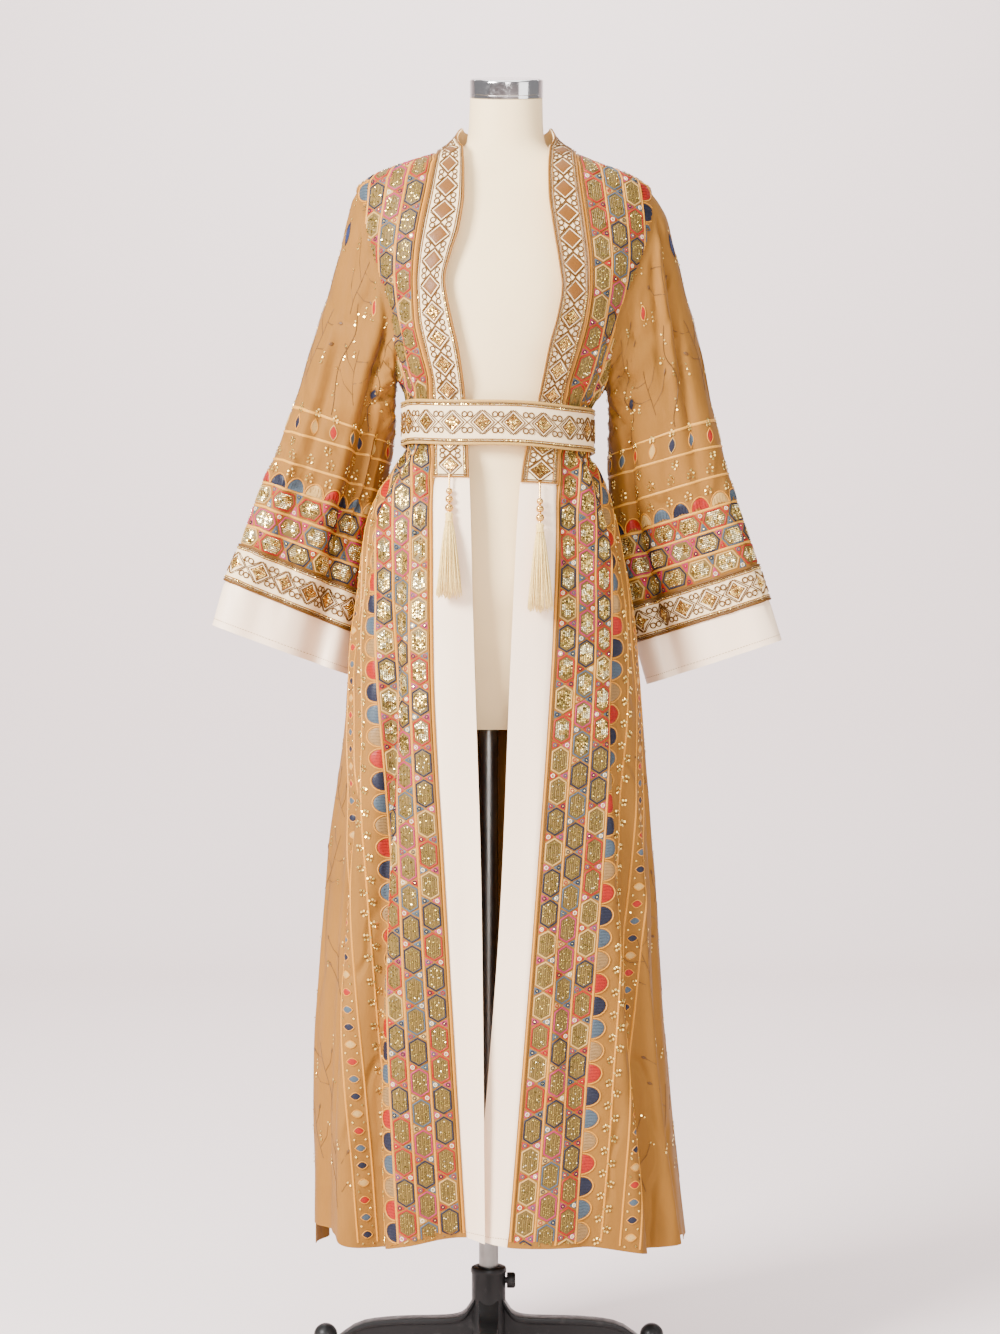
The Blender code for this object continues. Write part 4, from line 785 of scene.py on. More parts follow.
def mix_finishes(cloth, stand):
    """Every material, in the colours of the settings."""
    twist, cell, peel, worn = (1500.0, 2.0), (420.0, 1.0), (260.0, 3.0), (42.0, 5.0, 0.65)
    knit, strand = (1.0, 2.0, 0.5, (900.0, 900.0, 520.0)), (1.0, 2.0, 0.5, (900.0, 900.0, 22.0))
    cover, silk = tuple(stand.form_cover), (1.0, 0.70, 0.22)
    made = {
        "cloth": cloth_finish("Tan_cloth", cloth.cloth, 0.70, 0.03, 0.10, 0.0034, 0.0032),
        "satin": satin_finish("Cream_satin", tuple(cloth.satin)),
        "trim": cloth_finish("Trim_ground", cloth.trim_ground, 0.55, 0.05, 0.20, 0.0016, 0.0),
        # embroidery thread in the colour of each stitch, with its twist
        "thread": finish("Stitch_thread", ("tint", (0.10, 0.07, 0.05)), twist, (0.35, 0.7), 0.35, twist,
                         (0.3, 0.7, 0.34, 0.54), (twist, 0.0002, 0.7), blend="MULTIPLY",
                         Specular_IOR_Level=0.22),
        # thin metallic spangles, each a little off in colour from the next
        "sequin": finish("Gold_sequins", ("tint", (0.66, 0.62, 0.34)), cell, (0.40, 0.62), 0.38, cell,
                         (0.3, 0.7, 0.16, 0.34), blend="MULTIPLY", Metallic=1.0, Specular_IOR_Level=0.5),
        "bead_gold": metal_finish("Gold_beads", (0.74, 0.43, 0.12), 0.20),
        # bright strands over shaded ones
        "silk": finish("Tassel_silk", (darker(silk, 0.70), silk), strand, (0.35, 0.65), 1.0, strand,
                       (0.3, 0.7, 0.30, 0.46), Sheen_Weight=0.15, Sheen_Roughness=0.3,
                       Specular_IOR_Level=0.6),
        # the form's stretched cover: tiny knit, a few faint marks
        "form_cover": finish("Form_cover", (cover, darker(cover, 0.93)), (11.0, 4.0, 0.6), (0.4, 0.7), 0.6,
                             knit, (0.3, 0.7, 0.56, 0.70), (knit, 0.00012, 0.6), Sheen_Weight=0.15,
                             Sheen_Roughness=0.5, Specular_IOR_Level=0.3),
        "chrome": metal_finish("Cap_chrome", tuple(stand.chrome), 0.10),
        "steel": metal_finish("Pole_steel", tuple(stand.steel), 0.36, (1.0, 1.0, 0.05)),
        # painted casting: orange-peel skin, worn a little greyer in random patches
        "iron": finish("Black_iron", (tuple(stand.iron), (0.045, 0.042, 0.040)), worn, (0.56, 0.74), 0.5,
                       worn, (0.35, 0.7, 0.34, 0.52), (peel, 0.00025, 0.6), Coat_Weight=0.03,
                       Coat_Roughness=0.34, Specular_IOR_Level=0.20),
    }
    MATERIALS.update((key, shade.material) for key, shade in made.items())


# ---- needlework ----------------------------------------------------------------------------------
def scatter(*numbers):
    """A steady pseudo-random number from 0 to 1 for any indices."""
    value = sum(n * k for n, k in zip(numbers, (12.9898, 78.233, 37.719, 9.151)))
    return (math.sin(value) * 43758.5453) % 1.0


def pinned(u, v, turn, size=1.0):
    """Places points drawn upright at the origin at (u, v), turned."""
    c, s = math.cos(turn), math.sin(turn)
    return lambda x, y: (u + (x * c - y * s) * size, v + (x * s + y * c) * size)


class Needlework:
    """Raised threads, satin stitches and sequins drawn flat, as (u, v, height) in metres."""

    def __init__(self):
        self.points, self.faces, self.tints, self.spots = [], [], [], []

    def add(self, points, faces, tint):
        first = len(self.points)
        self.points.extend(points)
        self.tints.extend([tint] * len(points))
        self.faces.extend([tuple(first + i for i in face) for face in faces])

    def thread(self, path, width, height, tint, closed=False, step=0.02):
        """A thread with a rounded top along a flat path."""
        path = [np.array(p, dtype=float) for p in path]
        if closed:
            path.append(path[0])
        line = [path[0]]
        for a, b in zip(path, path[1:]):
            count = max(1, math.ceil(np.linalg.norm(b - a) / step))
            line.extend(a + (b - a) * i / count for i in range(1, count + 1))
        line = np.array(line[:-1] if closed else line)
        if closed:
            ahead = np.roll(line, -1, axis=0) - line
            behind = np.roll(ahead, 1, axis=0)
        else:
            steps = np.diff(line, axis=0)
            ahead, behind = np.concatenate([steps, steps[-1:]]), np.concatenate([steps[:1], steps])
        ahead = unit(ahead)
        along = unit(ahead + unit(behind))
        mitre = 1.0 / np.clip(np.sum(along * ahead, axis=1), 0.6, 1.0)
        out = np.stack([along[:, 1], -along[:, 0]], axis=1) * mitre[:, None] * width / 2.0
        flat = line[:, None] + np.array([-1.0, -0.45, 0.45, 1.0])[:, None] * out[:, None]
        points = stacked(flat[..., 0], flat[..., 1], np.array([0.0, height, height, 0.0])).reshape(-1, 3)
        self.add(points.tolist(), skin(len(line), 4, close_rows=closed, close_columns=False), tint)

    def satin(self, outline, tint, height=0.0006):
        """A filled motif that swells from its edge to its middle."""
        outline = np.array(outline, dtype=float)
        middle, count = outline.mean(axis=0), len(outline)
        points = [(*(middle + (p - middle) * share), height * rise)
                  for share, rise in ((1.0, 0.0), (0.84, 0.75), (0.45, 1.0)) for p in outline]
        points.append((*middle, height * 1.05))
        self.add(points, skin(3, count) + [(2 * count + j, 2 * count + (j + 1) % count, 3 * count)
                                           for j in range(count)], tint)

    def ring(self, u, v, radius, width, tint, height=0.0008, sides=8):
        path = [(u + p.x, v + p.y) for p in circle(radius, sides)]
        self.thread(path, width, height, tint, closed=True, step=1.0)

    def sequin(self, u, v, size, tint=SEQUIN_GOLD, lift=0.0007):
        self.spots.append((u, v, lift, size, *tint))

    def leaf(self, u, v, length, width, turn, tint, edge=None):
        """A lens-shaped leaf, with an outline if an edge colour is given."""
        at = pinned(u, v, turn)
        half = [(width / 2.0 * math.sin(math.pi * i / 6.0) ** 0.9, length * (i / 6.0 - 0.5))
                for i in range(7)]
        outline = [at(x, y) for x, y in half + [(-x, y) for x, y in half[-2:0:-1]]]
        self.satin(outline, tint)
        if edge is not None:
            self.thread(outline, 0.0013, 0.0009, edge, closed=True, step=1.0)

    def sprig(self, u, v, turn, size=1.0):
        """A short stem with five sequins."""
        at = pinned(u, v, turn, size)
        self.thread([at(0.0, 0.0), at(0.0, 0.0065)], 0.0008, 0.0004, CORD_GOLD, step=1.0)
        for x, y in ((0.0, 0.0122), (-0.0034, 0.0086), (0.0034, 0.0080), (-0.0030, 0.0042), (0.0032, 0.0036)):
            self.sequin(*at(x, y), 0.0019)

    def lay(self, name, layout, sides=6):
        """Puts the stitches, and then the sequins, on the cloth that layout describes."""
        if self.faces:
            points = np.array(self.points)
            inside = layout.holds(points[:, 0], points[:, 1])
            placed = layout.place(*points.T)
            kept = [face for face in self.faces if all(inside[i] for i in face)]
            used = sorted({i for face in kept for i in face})
            renumber = {old: new for new, old in enumerate(used)}
            order = -1 if layout.mirrored else 1
            faces = [tuple(renumber[i] for i in face)[::order] for face in kept]
            mesh_piece(name, placed[used], faces, "thread", tints=np.array(self.tints)[used])
        if self.spots:
            spots = np.array(self.spots)
            spots = spots[layout.holds(spots[:, 0], spots[:, 1])]
            strew_sequins(name + "_sequins", layout.place(*spots.T[:3]), layout.normals(*spots.T[:2]),
                          spots[:, 3], spots[:, 4:7], sides)


def sequin_tree(sides):
    """Geometry nodes: a small spangle on every point, turned to the cloth and tipped a little."""
    tree = bpy.data.node_groups.new("Strew Sequins", "GeometryNodeTree")
    for name, kind in (("Geometry", "Geometry"), ("Thickness", "Float"), ("Tip", "Float"), ("Seed", "Int")):
        tree.interface.new_socket(name, in_out="INPUT", socket_type="NodeSocket" + kind)
    tree.interface.new_socket("Geometry", in_out="OUTPUT", socket_type="NodeSocketGeometry")

    def node(kind, inputs, settings=None, output=0):
        return add_node(tree, kind, settings, inputs).outputs[output]

    def stored(name, kind):
        return node("GeometryNodeInputNamedAttribute", {"Name": name}, {"data_type": kind}, "Attribute")

    given = add_node(tree, "NodeGroupInput").outputs
    spangle = node("GeometryNodeMeshCone", {
        "Vertices": sides, "Side Segments": 1, "Fill Segments": 1, "Radius Top": 0.8, "Radius Bottom": 1.0,
        "Depth": given["Thickness"]}, {"fill_type": "NGON"}, "Mesh")
    upright = node("FunctionNodeAlignRotationToVector", {"Vector": stored("facing", "FLOAT_VECTOR")},
                   {"axis": "Z"})
    limit = node("ShaderNodeMath", {0: given["Tip"], 1: -1.0}, {"operation": "MULTIPLY"})
    low = node("ShaderNodeCombineXYZ", {"X": limit, "Y": limit, "Z": 0.0})
    high = node("ShaderNodeCombineXYZ", {"X": given["Tip"], "Y": given["Tip"], "Z": 2.0 * math.pi})
    tip = node("FunctionNodeRandomValue", {"Min": low, "Max": high, "Seed": given["Seed"]},
               {"data_type": "FLOAT_VECTOR"}, "Value")
    turn = node("FunctionNodeEulerToRotation", {"Euler": tip})
    both = node("FunctionNodeRotateRotation", {"Rotation": upright, "Rotate By": turn},
                {"rotation_space": "LOCAL"})
    made = node("GeometryNodeInstanceOnPoints", {
        "Points": given["Geometry"], "Instance": spangle, "Rotation": both, "Scale": stored("size", "FLOAT")})
    made = node("GeometryNodeRealizeInstances", {"Geometry": made})
    made = node("GeometryNodeSetShadeSmooth", {"Geometry": made, "Shade Smooth": False})
    made = node("GeometryNodeSetMaterial", {"Geometry": made, "Material": MATERIALS["sequin"]})
    add_node(tree, "NodeGroupOutput", inputs={"Geometry": made})
    return tree


def strew_sequins(name, points, facing, sizes, tints, sides):
    """A piece of real spangles, one on each point."""
    dots = bpy.data.meshes.new(name + "_dots")
    dots.from_pydata([tuple(p) for p in points], [], [])
    give_points(dots, "facing", "FLOAT_VECTOR", "vector", facing)
    give_points(dots, "size", "FLOAT", "value", sizes)
    give_tints(dots, tints)
    thing = bpy.data.objects.new(name, dots)
    bpy.context.scene.collection.objects.link(thing)
    modifier = thing.modifiers.new("Sequins", "NODES")
    tree = modifier.node_group = sequin_tree(sides)
    values = {"Thickness": 0.28, "Tip": 0.20, "Seed": 7}
    for item in tree.interface.items_tree:
        if item.in_out == "INPUT" and item.name in values:
            modifier[item.identifier] = values[item.name]
    made_real(thing, modifier).name = name
    bpy.data.meshes.remove(dots)
    bpy.data.node_groups.remove(tree)
    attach(thing, "form")


# ---- where stitches go: flat layouts of the cut pieces -------------------------------------------
def between_rows(table, row, column):
    """Reads a grid of numbers or points at fractional rows and columns."""
    rows, columns = table.shape[:2]
    row, column = np.clip(row, 0.0, rows - 1.001), np.clip(column, 0.0, columns - 1.001)
    i, j = row.astype(int), column.astype(int)
    ends = (1,) * (table.ndim - 2)
    f, g = ((part - whole).reshape(part.shape + ends) for part, whole in ((row, i), (column, j)))
    return ((1 - f) * ((1 - g) * table[i, j] + g * table[i, j + 1])
            + f * ((1 - g) * table[i + 1, j] + g * table[i + 1, j + 1]))


class Layout:
    """A cut laid flat: u and v are metres on it. surface gives a worn point from what spot gives."""

    mirrored, lift, clearance = False, 0.0, 0.0002

    def place(self, u, v, height):
        height = height + (self.clearance + self.lift)
        return self.surface(*self.spot(u, v)) + self.normals(u, v) * height[:, None]

    def normals(self, u, v):
        return surface_normals(self.surface, *self.spot(u, v), *self.steps)

    def holds(self, u, v):
        """Whether the cut goes so far: a trim carries its edge cords a little past its sides."""
        return (u > -0.001) & (u < self.width + 0.001)


class PanelLayout(Layout):
    """A panel of the cloak's body: u metres round from its front or side edge, v the level."""

    U_STEP, steps = 0.0025, (0.4, 0.002)

    def __init__(self, start, end, hem, guard, side=None):
        self.side, self.mirrored, self.hem, self.guard = side, side == "right", hem, guard
        self.levels = np.linspace(0.18, 1.686, 152)
        low, high = start(self.levels)[:, None], np.full((len(self.levels), 1), end)
        angles = low + (high - low) * np.linspace(0.0, 1.0, 300)
        arcs = arc_lengths(self.surface(angles, self.levels[:, None] + 0.0 * angles), axis=1)
        reach = np.arange(0.0, arcs[:, -1].max() + self.U_STEP, self.U_STEP)
        self.table = np.stack([np.interp(reach, run, angle) for run, angle in zip(arcs, angles)])
        self.total = arcs[:, -1]

    def surface(self, angle, level):
        return cloth_point(angle, level, front_sway(self.side, angle, level) if self.side else 0.0)

    def spot(self, u, v):
        row = (v - self.levels[0]) / (self.levels[1] - self.levels[0])
        return between_rows(self.table, row, u / self.U_STEP), v

    def holds(self, u, v):
        angle = self.spot(u, v)[0]
        total = np.interp(v, self.levels, self.total)
        under_belt = (v > UNDER_BELT[0]) & (v < UNDER_BELT[1])
        inside = (u > 0.0) & (u < total - 0.002) & (v > self.hem("z", angle) + 0.004)
        return inside & ~under_belt & self.guard(angle, v)


def front_layout(side):
    return PanelLayout(
        start=lambda level: angle_at_x(EDGES[side]("panel", level), level), end=SIDES[side] * 90.0,
        guard=lambda angle, level: (np.abs(angle) < armhole_limit(level) - 0.5) & (level < 1.652),
        hem=FRONT_HEM, side=side)


def back_layout():
    return PanelLayout(
        start=lambda level: np.full_like(level, 90.0), end=270.0, hem=BACK_HEM,
        guard=lambda angle, level: (np.abs(angle - 180.0) < armhole_limit(level) - 0.8) & (level < 1.630))


class StripLayout(Layout):
    """A trim on the body's surface: u metres from the opening's edge, v metres along it."""

    lift, steps, surface = TRIM_LIFT, (0.5, 0.002), staticmethod(cloth_point)

    def __init__(self, angles, levels, mirrored=False):
        self.angles, self.levels, self.mirrored = angles, levels, mirrored
        points = cloth_point(angles, levels)
        self.run = arc_lengths(points[:, points.shape[1] // 2])
        self.length = float(self.run[-1])
        self.width = float(np.median(arc_lengths(points, axis=1)[:, -1]))

    def spot(self, u, v):
        row = np.interp(v, self.run, np.arange(len(self.run)))
        column = u / self.width * (self.angles.shape[1] - 1)
        return between_rows(self.angles, row, column), between_rows(self.levels, row, column)

    def holds(self, u, v):
        level = self.spot(u, v)[1]
        under_belt = (level > TRIM_UNDER_BELT[0]) & (level < TRIM_UNDER_BELT[1])
        return super().holds(u, v) & (v > -0.0005) & (v < self.length + 0.0005) & ~under_belt


class GridLayout(Layout):
    """Any grid of points: u metres along its rows and v up its columns."""

    clearance = 0.0001

    def __init__(self, points, normals):
        self.points, self.facing = points, normals
        self.run = arc_lengths(points[:, points.shape[1] // 2])
        self.width = float(arc_lengths(points[1:2], axis=1)[0, -1])

    def spot(self, u, v):
        return np.interp(v, self.run, np.arange(len(self.run))), u / self.width * (self.points.shape[1] - 1)

    def surface(self, row, column):
        return between_rows(self.points, row, column)

    def normals(self, u, v):
        return between_rows(self.facing, *self.spot(u, v))

    def holds(self, u, v):
        return (u > 0.0) & (u < self.width) & (v > 0.0)


class BeltLayout(Layout):
    """The belt: u metres down from its upper edge, v metres round from the middle of the front."""

    width, steps, surface = BELT_HEIGHT, (0.5, 0.02), staticmethod(belt_point)

    def __init__(self):
        self.turns = np.linspace(0.0, 360.0, 721)
        self.run = arc_lengths(belt_point(self.turns, np.zeros(721)))
        self.length = float(self.run[-1])

    def spot(self, u, v):
        return np.interp(np.mod(v, self.length), self.run, self.turns), 0.5 - u / BELT_HEIGHT


class SleeveLayout(Layout):
    """A sleeve laid flat: u metres round from its outer edge, v metres up from the cuff's hem."""

    def __init__(self, side):
        self.side, self.mirrored = side, side == "left"
        self.shares, turns = np.linspace(0.0, 1.0, 81), np.linspace(0.0, 2.0 * math.pi, 241)
        grid = arm_point(side, *np.meshgrid(self.shares, turns, indexing="ij"))
        arcs = arc_lengths(grid, axis=1)
        parts = np.linspace(0.0, 1.0, 241)
        self.table = np.stack([np.interp(parts, run / run[-1], turns) for run in arcs])
        self.round = float(arcs[64, -1])
        front = arc_lengths(grid[:, 60])
        self.climb = front[-1] - front

    def along_at(self, v):
        return np.interp(v, self.climb[::-1], self.shares[::-1])

    def climb_at(self, along):
        return float(np.interp(along, self.shares, self.climb))

    def climb_at_height(self, z):
        """How far up the sleeve the outer edge is at a height."""
        outer = SLEEVE(self.side + "_outer_z", self.shares)
        return self.climb_at(float(np.interp(-z, -outer, self.shares)))

    def spot(self, u, v):
        along = self.along_at(v)
        return along, between_rows(self.table, along * 80.0, np.mod(u / self.round, 1.0) * 240.0)

    def surface(self, along, turn):
        return arm_point(self.side, along, turn)

    def normals(self, u, v):
        return arm_normal(self.side, *self.spot(u, v))

    def holds(self, u, v):
        along = self.along_at(v)
        return (along > 0.012) & (along < SLEEVE_TRIM_START + 0.004)


class CuffTrimLayout(SleeveLayout):
    """The trim round a sleeve: u metres down from its upper edge, v metres round."""

    lift = TRIM_LIFT

    def __init__(self, side):
        super().__init__(side)
        self.top = self.climb_at(SLEEVE_TRIM_START)
        self.width, self.length = self.top - self.climb_at(SLEEVE_END), self.round

    def spot(self, u, v):
        return super().spot(v, self.top - u)

    def holds(self, u, v):
        return Layout.holds(self, u, v)


# ---- the cut pieces of cloth ---------------------------------------------------------------------
def panel_rows(seam, low_start):
    """What the fronts and the back share, row by row: levels in the middle and at the side seam, the
    seam's or armhole's angle from the front, and the turn round the armhole of the upper rows."""
    levels = np.concatenate([[HEM_LEVEL], np.linspace(low_start, 1.328, 104)])
    turn = math.pi * (1.0 - np.linspace(0.0, 1.0, 46))
    return levels, turn, np.concatenate([levels, armhole_z(turn)])[:, None], np.full(len(levels), seam)


def front_grid(side):
    """A front, from under the trim round to the side seam, up to the armhole and shoulder seam."""
    sign, seam, corner, edge = SIDES[side], 90.0 - SEAM_ANGLE, 0.14, EDGES[side]
    share = np.linspace(0.0, 1.0, 64)
    share = share - 0.06 * np.sin(2.0 * math.pi * share) / (2.0 * math.pi)
    levels, turn, sides, seams = panel_rows(seam, 0.236)
    front_level = chest_level(np.clip((turn - corner) * math.pi / (math.pi - corner), 0.0, math.pi))
    low_start = angle_at_x(edge("panel", levels) - sign * TUCK * ramp(levels, 1.19, 1.215), levels)
    high_start = angle_at_x(edge("panel", front_level) - sign * TUCK * ramp(turn, 0.0, 0.3), front_level)
    high_start = high_start + (sign * seam - high_start) * ramp(turn, corner, 0.0)
    starts = np.concatenate([low_start, high_start])[:, None]
    fronts = np.concatenate([levels, front_level])[:, None]
    limits = np.concatenate([seams, np.minimum(armhole_angle(turn), seam)])[:, None]
    angles = starts + (sign * limits - starts) * share
    rise = fronts + (sides - fronts) * share
    rise[0] = FRONT_HEM("z", angles[0])
    return angles, rise


def back_grid():
    seam, neck_share = 90.0 + SEAM_ANGLE, 6.0 / 13.0
    half = np.linspace(0.0, 1.0, 65)
    neck_round = np.clip((half - neck_share) / (1.0 - neck_share), 0.0, 1.0)
    shoulder_rise = np.clip(half / neck_share, 0.0, 1.0)
    levels, turn, sides, seams = panel_rows(seam, 0.230)
    climb = np.concatenate([0.0 * levels, ramp(math.pi - turn, 0.45 * math.pi, math.pi)])[:, None]
    middles = np.concatenate([levels, chest_level(turn)])[:, None]
    limits = np.concatenate([seams, np.maximum(180.0 - armhole_angle(turn), seam)])[:, None]
    angle = limits + (180.0 - limits) * (half + (neck_round - half) * climb)
    level = sides + (middles - sides) * (half + (shoulder_rise - half) * climb)
    angles = np.concatenate([angle, 360.0 - angle[:, -2::-1]], axis=1)
    rise = np.concatenate([level, level[:, -2::-1]], axis=1)
    rise[0] = BACK_HEM("z", angles[0])
    rise[-1] -= 0.0006
    return angles, rise


def facing_out(side, *grids):
    """Columns run towards the wearer's left, so that a shell's face looks out."""
    return [grid[:, ::-1] if side == "right" else grid for grid in grids]


def make_front(side):
    def place(angle, level):
        return cloth_point(angle, level, front_sway(side, angle, level))

    angles, levels = facing_out(side, *front_grid(side))
    normals = surface_normals(place, angles, levels, 0.4, 0.002)
    cloth_shell("Front_" + side, place(angles, levels), normals)


def make_back():
    angles, levels = back_grid()
    normals = surface_normals(cloth_point, angles, levels, 0.4, 0.002)
    cloth_shell("Back_panel", cloth_point(angles, levels), normals)


def ring_grid(side, start, end, rows, lift=0.0):
    """Points and normals of a sleeve's rings, from end up to start."""
    turn = 2.0 * math.pi * np.arange(96) / 96
    along, turn = np.meshgrid(np.linspace(start, end, rows)[::-1], turn[::-1] if side == "left" else turn,
                              indexing="ij")
    normals = arm_normal(side, along, turn)
    return arm_point(side, along, turn) + normals * lift, normals


def make_cuff(side):
    points, normals = ring_grid(side, SLEEVE_END - 0.012, 1.0, 16)
    points = points - 0.0014 * normals * ramp(np.linspace(0.0, 1.0, 16), 0.80, 1.0)[:, None, None]
    cloth_shell("Cuff_" + side, points, normals, material="satin", closed=True)
    joined = (np.concatenate([grid, grid[:, :1]], axis=1) for grid in (points, normals))
    stitch_hem("Cuff_" + side, GridLayout(*joined))


def make_band(side):
    """The satin band on a front edge: its free edge, and its seam under the tan panel."""
    share = np.linspace(0.0, 1.05, 22)
    levels = np.concatenate([[HEM_LEVEL], np.linspace(0.232, TRIM_END_Z + 0.004, 110)])[:, None] + 0.0 * share
    inner, panel = EDGES[side]("inner", levels), EDGES[side]("panel", levels)
    angles = angle_at_x(inner + (panel - inner) * share, levels)
    levels[0] = FRONT_HEM("z", angles[0])
    free = BAND_WAVE(side + "_free", levels)
    sway = free + (BAND_WAVE(side + "_panel", levels) - free) * np.clip(share, 0.0, 1.0)
    wave = np.sin(7.0 * levels + (0.8 if side == "left" else 2.1) + 2.6 * share)
    sway = sway + 0.0016 * wave * ramp(share, 1.0, 0.4) * ramp(levels, 1.15, 0.9)
    tuck = -0.0016 * ramp(share, 0.90, 1.0) - 0.0012 * ramp(levels, TRIM_END_Z - 0.012, TRIM_END_Z)
    angles, levels, sway, tuck = facing_out(side, angles, levels, sway, tuck)
    points = cloth_point(angles, levels, sway)
    normals = unit(np.cross(np.gradient(points, axis=1), np.gradient(points, axis=0)))
    points = points + normals * tuck[..., None]
    cloth_shell("Front_band_" + side, points, normals, material="satin")
    stitch_hem("Front_band_" + side, GridLayout(points, normals))


def stitch_hem(name, layout, pitch=0.0036):
    """A running stitch that holds a turned hem."""
    work = Needlework()
    for i in range(int(layout.width / pitch)):
        u = (i + 0.2) * pitch
        work.thread([(u, HEM_STITCH_RISE), (u + pitch * 0.62, HEM_STITCH_RISE)], 0.0007, 0.00035,
                    darker(CREAM, 0.86), step=1.0)
    work.lay(name + "_hem", layout)


def front_trim_rows(side):
    """Angles and levels of a front trim, from its lower end up and round to the shoulder seam."""
    share = np.linspace(0.0, 1.0, 9)
    low = TRIM_END_Z - (0.0095 if side == "left" else 0.0055)
    levels = np.linspace(low, COLLAR_SEAM_Z, 110)[:, None] + 0.0 * share
    inner, panel = EDGES[side]("inner", levels), EDGES[side]("panel", levels)
    angles = angle_at_x(inner + (panel - inner) * share, levels)
    step = np.linspace(0.0, 1.0, 15)[1:, None]
    seam_level = COLLAR_TOP_Z + (COLLAR_SEAM_Z - COLLAR_TOP_Z) * share
    return (np.concatenate([angles, angles[-1] + (SIDES[side] * (90.0 - SEAM_ANGLE) - angles[-1]) * step]),
            np.concatenate([levels, levels[-1] + (seam_level - levels[-1]) * step]))


def collar_rows():
    seam, share = 90.0 + SEAM_ANGLE, np.linspace(0.0, 1.0, 9)
    angles = np.linspace(seam, 360.0 - seam, 70)[:, None] + 0.0 * share
    return angles, COLLAR_TOP_Z + (COLLAR_SEAM_Z - COLLAR_TOP_Z) * share + 0.0 * angles


def make_strip(name, layout):
    """The ground of a trim on the cloak's body."""
    angles, levels = facing_out("right" if layout.mirrored else "left", layout.angles, layout.levels)
    normals = surface_normals(cloth_point, angles, levels, 0.5, 0.002)
    cloth_shell(name, cloth_point(angles, levels) + normals * TRIM_LIFT, normals, TRIM, "trim")


def make_belt():
    """A stiffened band, with an extra row close to each edge."""
    shares = np.concatenate([[-0.5], np.linspace(-0.47, 0.47, 9), [0.5]])
    share, angle = np.meshgrid(shares, np.linspace(0.0, 360.0, 240, endpoint=False), indexing="ij")
    normals = surface_normals(belt_point, angle, share, 0.5, 0.02)
    cloth_shell("Belt", belt_point(angle, share), normals, BELT_WALL, "trim", closed=True)


# ---- motifs --------------------------------------------------------------------------------------
def upright(u, v, across):
    """Places points of a motif at (u, v), with its long axis along v, or along u where it lies across."""
    return lambda x, y: (u + y, v - x) if across else (u + x, v + y)


def hexagon(work, u, v, across, tint, glitter, half=HEX_HALF):
    """An outlined hexagon filled with rows of sequins, or dull threads where it glitters little. Its sequins
    carry painted light: glitter sets how many keep a full tint, the rest are darkened as painted shade, and
    patches take a pale painted-glint tint.
    """
    at, (w, h) = upright(u, v, across), half
    # share of coarse patches whose sequins take the pale painted-glint tint, larger on the sleeves' rows
    painted_glint_share, shoulder = 0.52 if across else 0.30, h - 0.0062
    outline = [at(x, y) for x, y in ((w, -shoulder), (w, shoulder), (0.0, h), (-w, shoulder), (-w, -shoulder),
                                     (0.0, -h))]
    work.satin(outline, OLIVE, 0.0003)
    work.thread(outline, 0.0021, 0.0011, tint, closed=True, step=0.008)
    columns = max(3, round((2.0 * w - 0.0030) / 0.0026))
    for i in range(columns):
        x = (i - (columns - 1) / 2.0) * 0.0026
        reach = h - 0.0034 - 0.0062 * abs(x) / w
        if glitter < 0.30:
            work.thread([at(x, -reach), at(x, reach)], 0.0019, 0.0009, darker(OLIVE, 0.9 if i % 2 else 1.35))
            for j in range(5):
                chance = scatter(u * 977.0, v * 613.0, i, j)
                if chance < 0.64:
                    y = reach * ((j + scatter(i, j, v * 311.0)) / 2.5 - 1.0)
                    # a few sequins take the pale painted-glint tint; the rest vary at random in tone
                    fleck = PAINTED_GLINT if chance < glitter * 0.4 else darker(SEQUIN_OLIVE, 0.6 + 0.8 * chance)
                    work.sequin(*at(x, y), 0.0012, fleck, 0.0012)
            continue
        rows = int(2.0 * reach / 0.0023)
        for j in range(rows):
            y = (j - (rows - 1) / 2.0) * 0.0023
            chance = scatter(u * 977.0, v * 613.0, i, j)
            # sequins picked as bright keep a full tint, standing for ones that catch the lamps; the rest are
            # darkened to 0.52 as painted shade
            bright = chance < glitter
            fleck = SEQUIN_GOLD if bright else (SEQUIN_OLIVE if chance < 0.86 else SEQUIN_COPPER)
            # painted glint: whole patches of sequins take the pale near-white tint
            if scatter(math.floor((u + x) / 0.0075), math.floor((v + y) / 0.0070), 3.0) < painted_glint_share:
                fleck, bright = PAINTED_GLINT, chance < 0.92
            work.sequin(*at(x, y), 0.00125, fleck if bright else darker(fleck, 0.52))


def corner_pair(work, u, v, across, tints, rings, half_cell):
    """Two small triangles and their rings, between one hexagon's point and the next."""
    at, far = upright(u, v, across), half_cell - LINE_WIDTH / 2.0 - 0.0004
    for sign, tint, ring in zip((-1, 1), tints, rings):
        corners = [(far, -0.0052), (far, 0.0052), (0.0022, 0.0010), (0.0022, -0.0010)][::sign]
        work.satin([at(sign * x, y) for x, y in corners], tint, 0.0005)
        spot = at(sign * (far - 0.0037), 0.0)
        work.ring(*spot, 0.0023, 0.0014, ring, 0.0012)
        work.sequin(*spot, 0.0011, lift=0.0010)


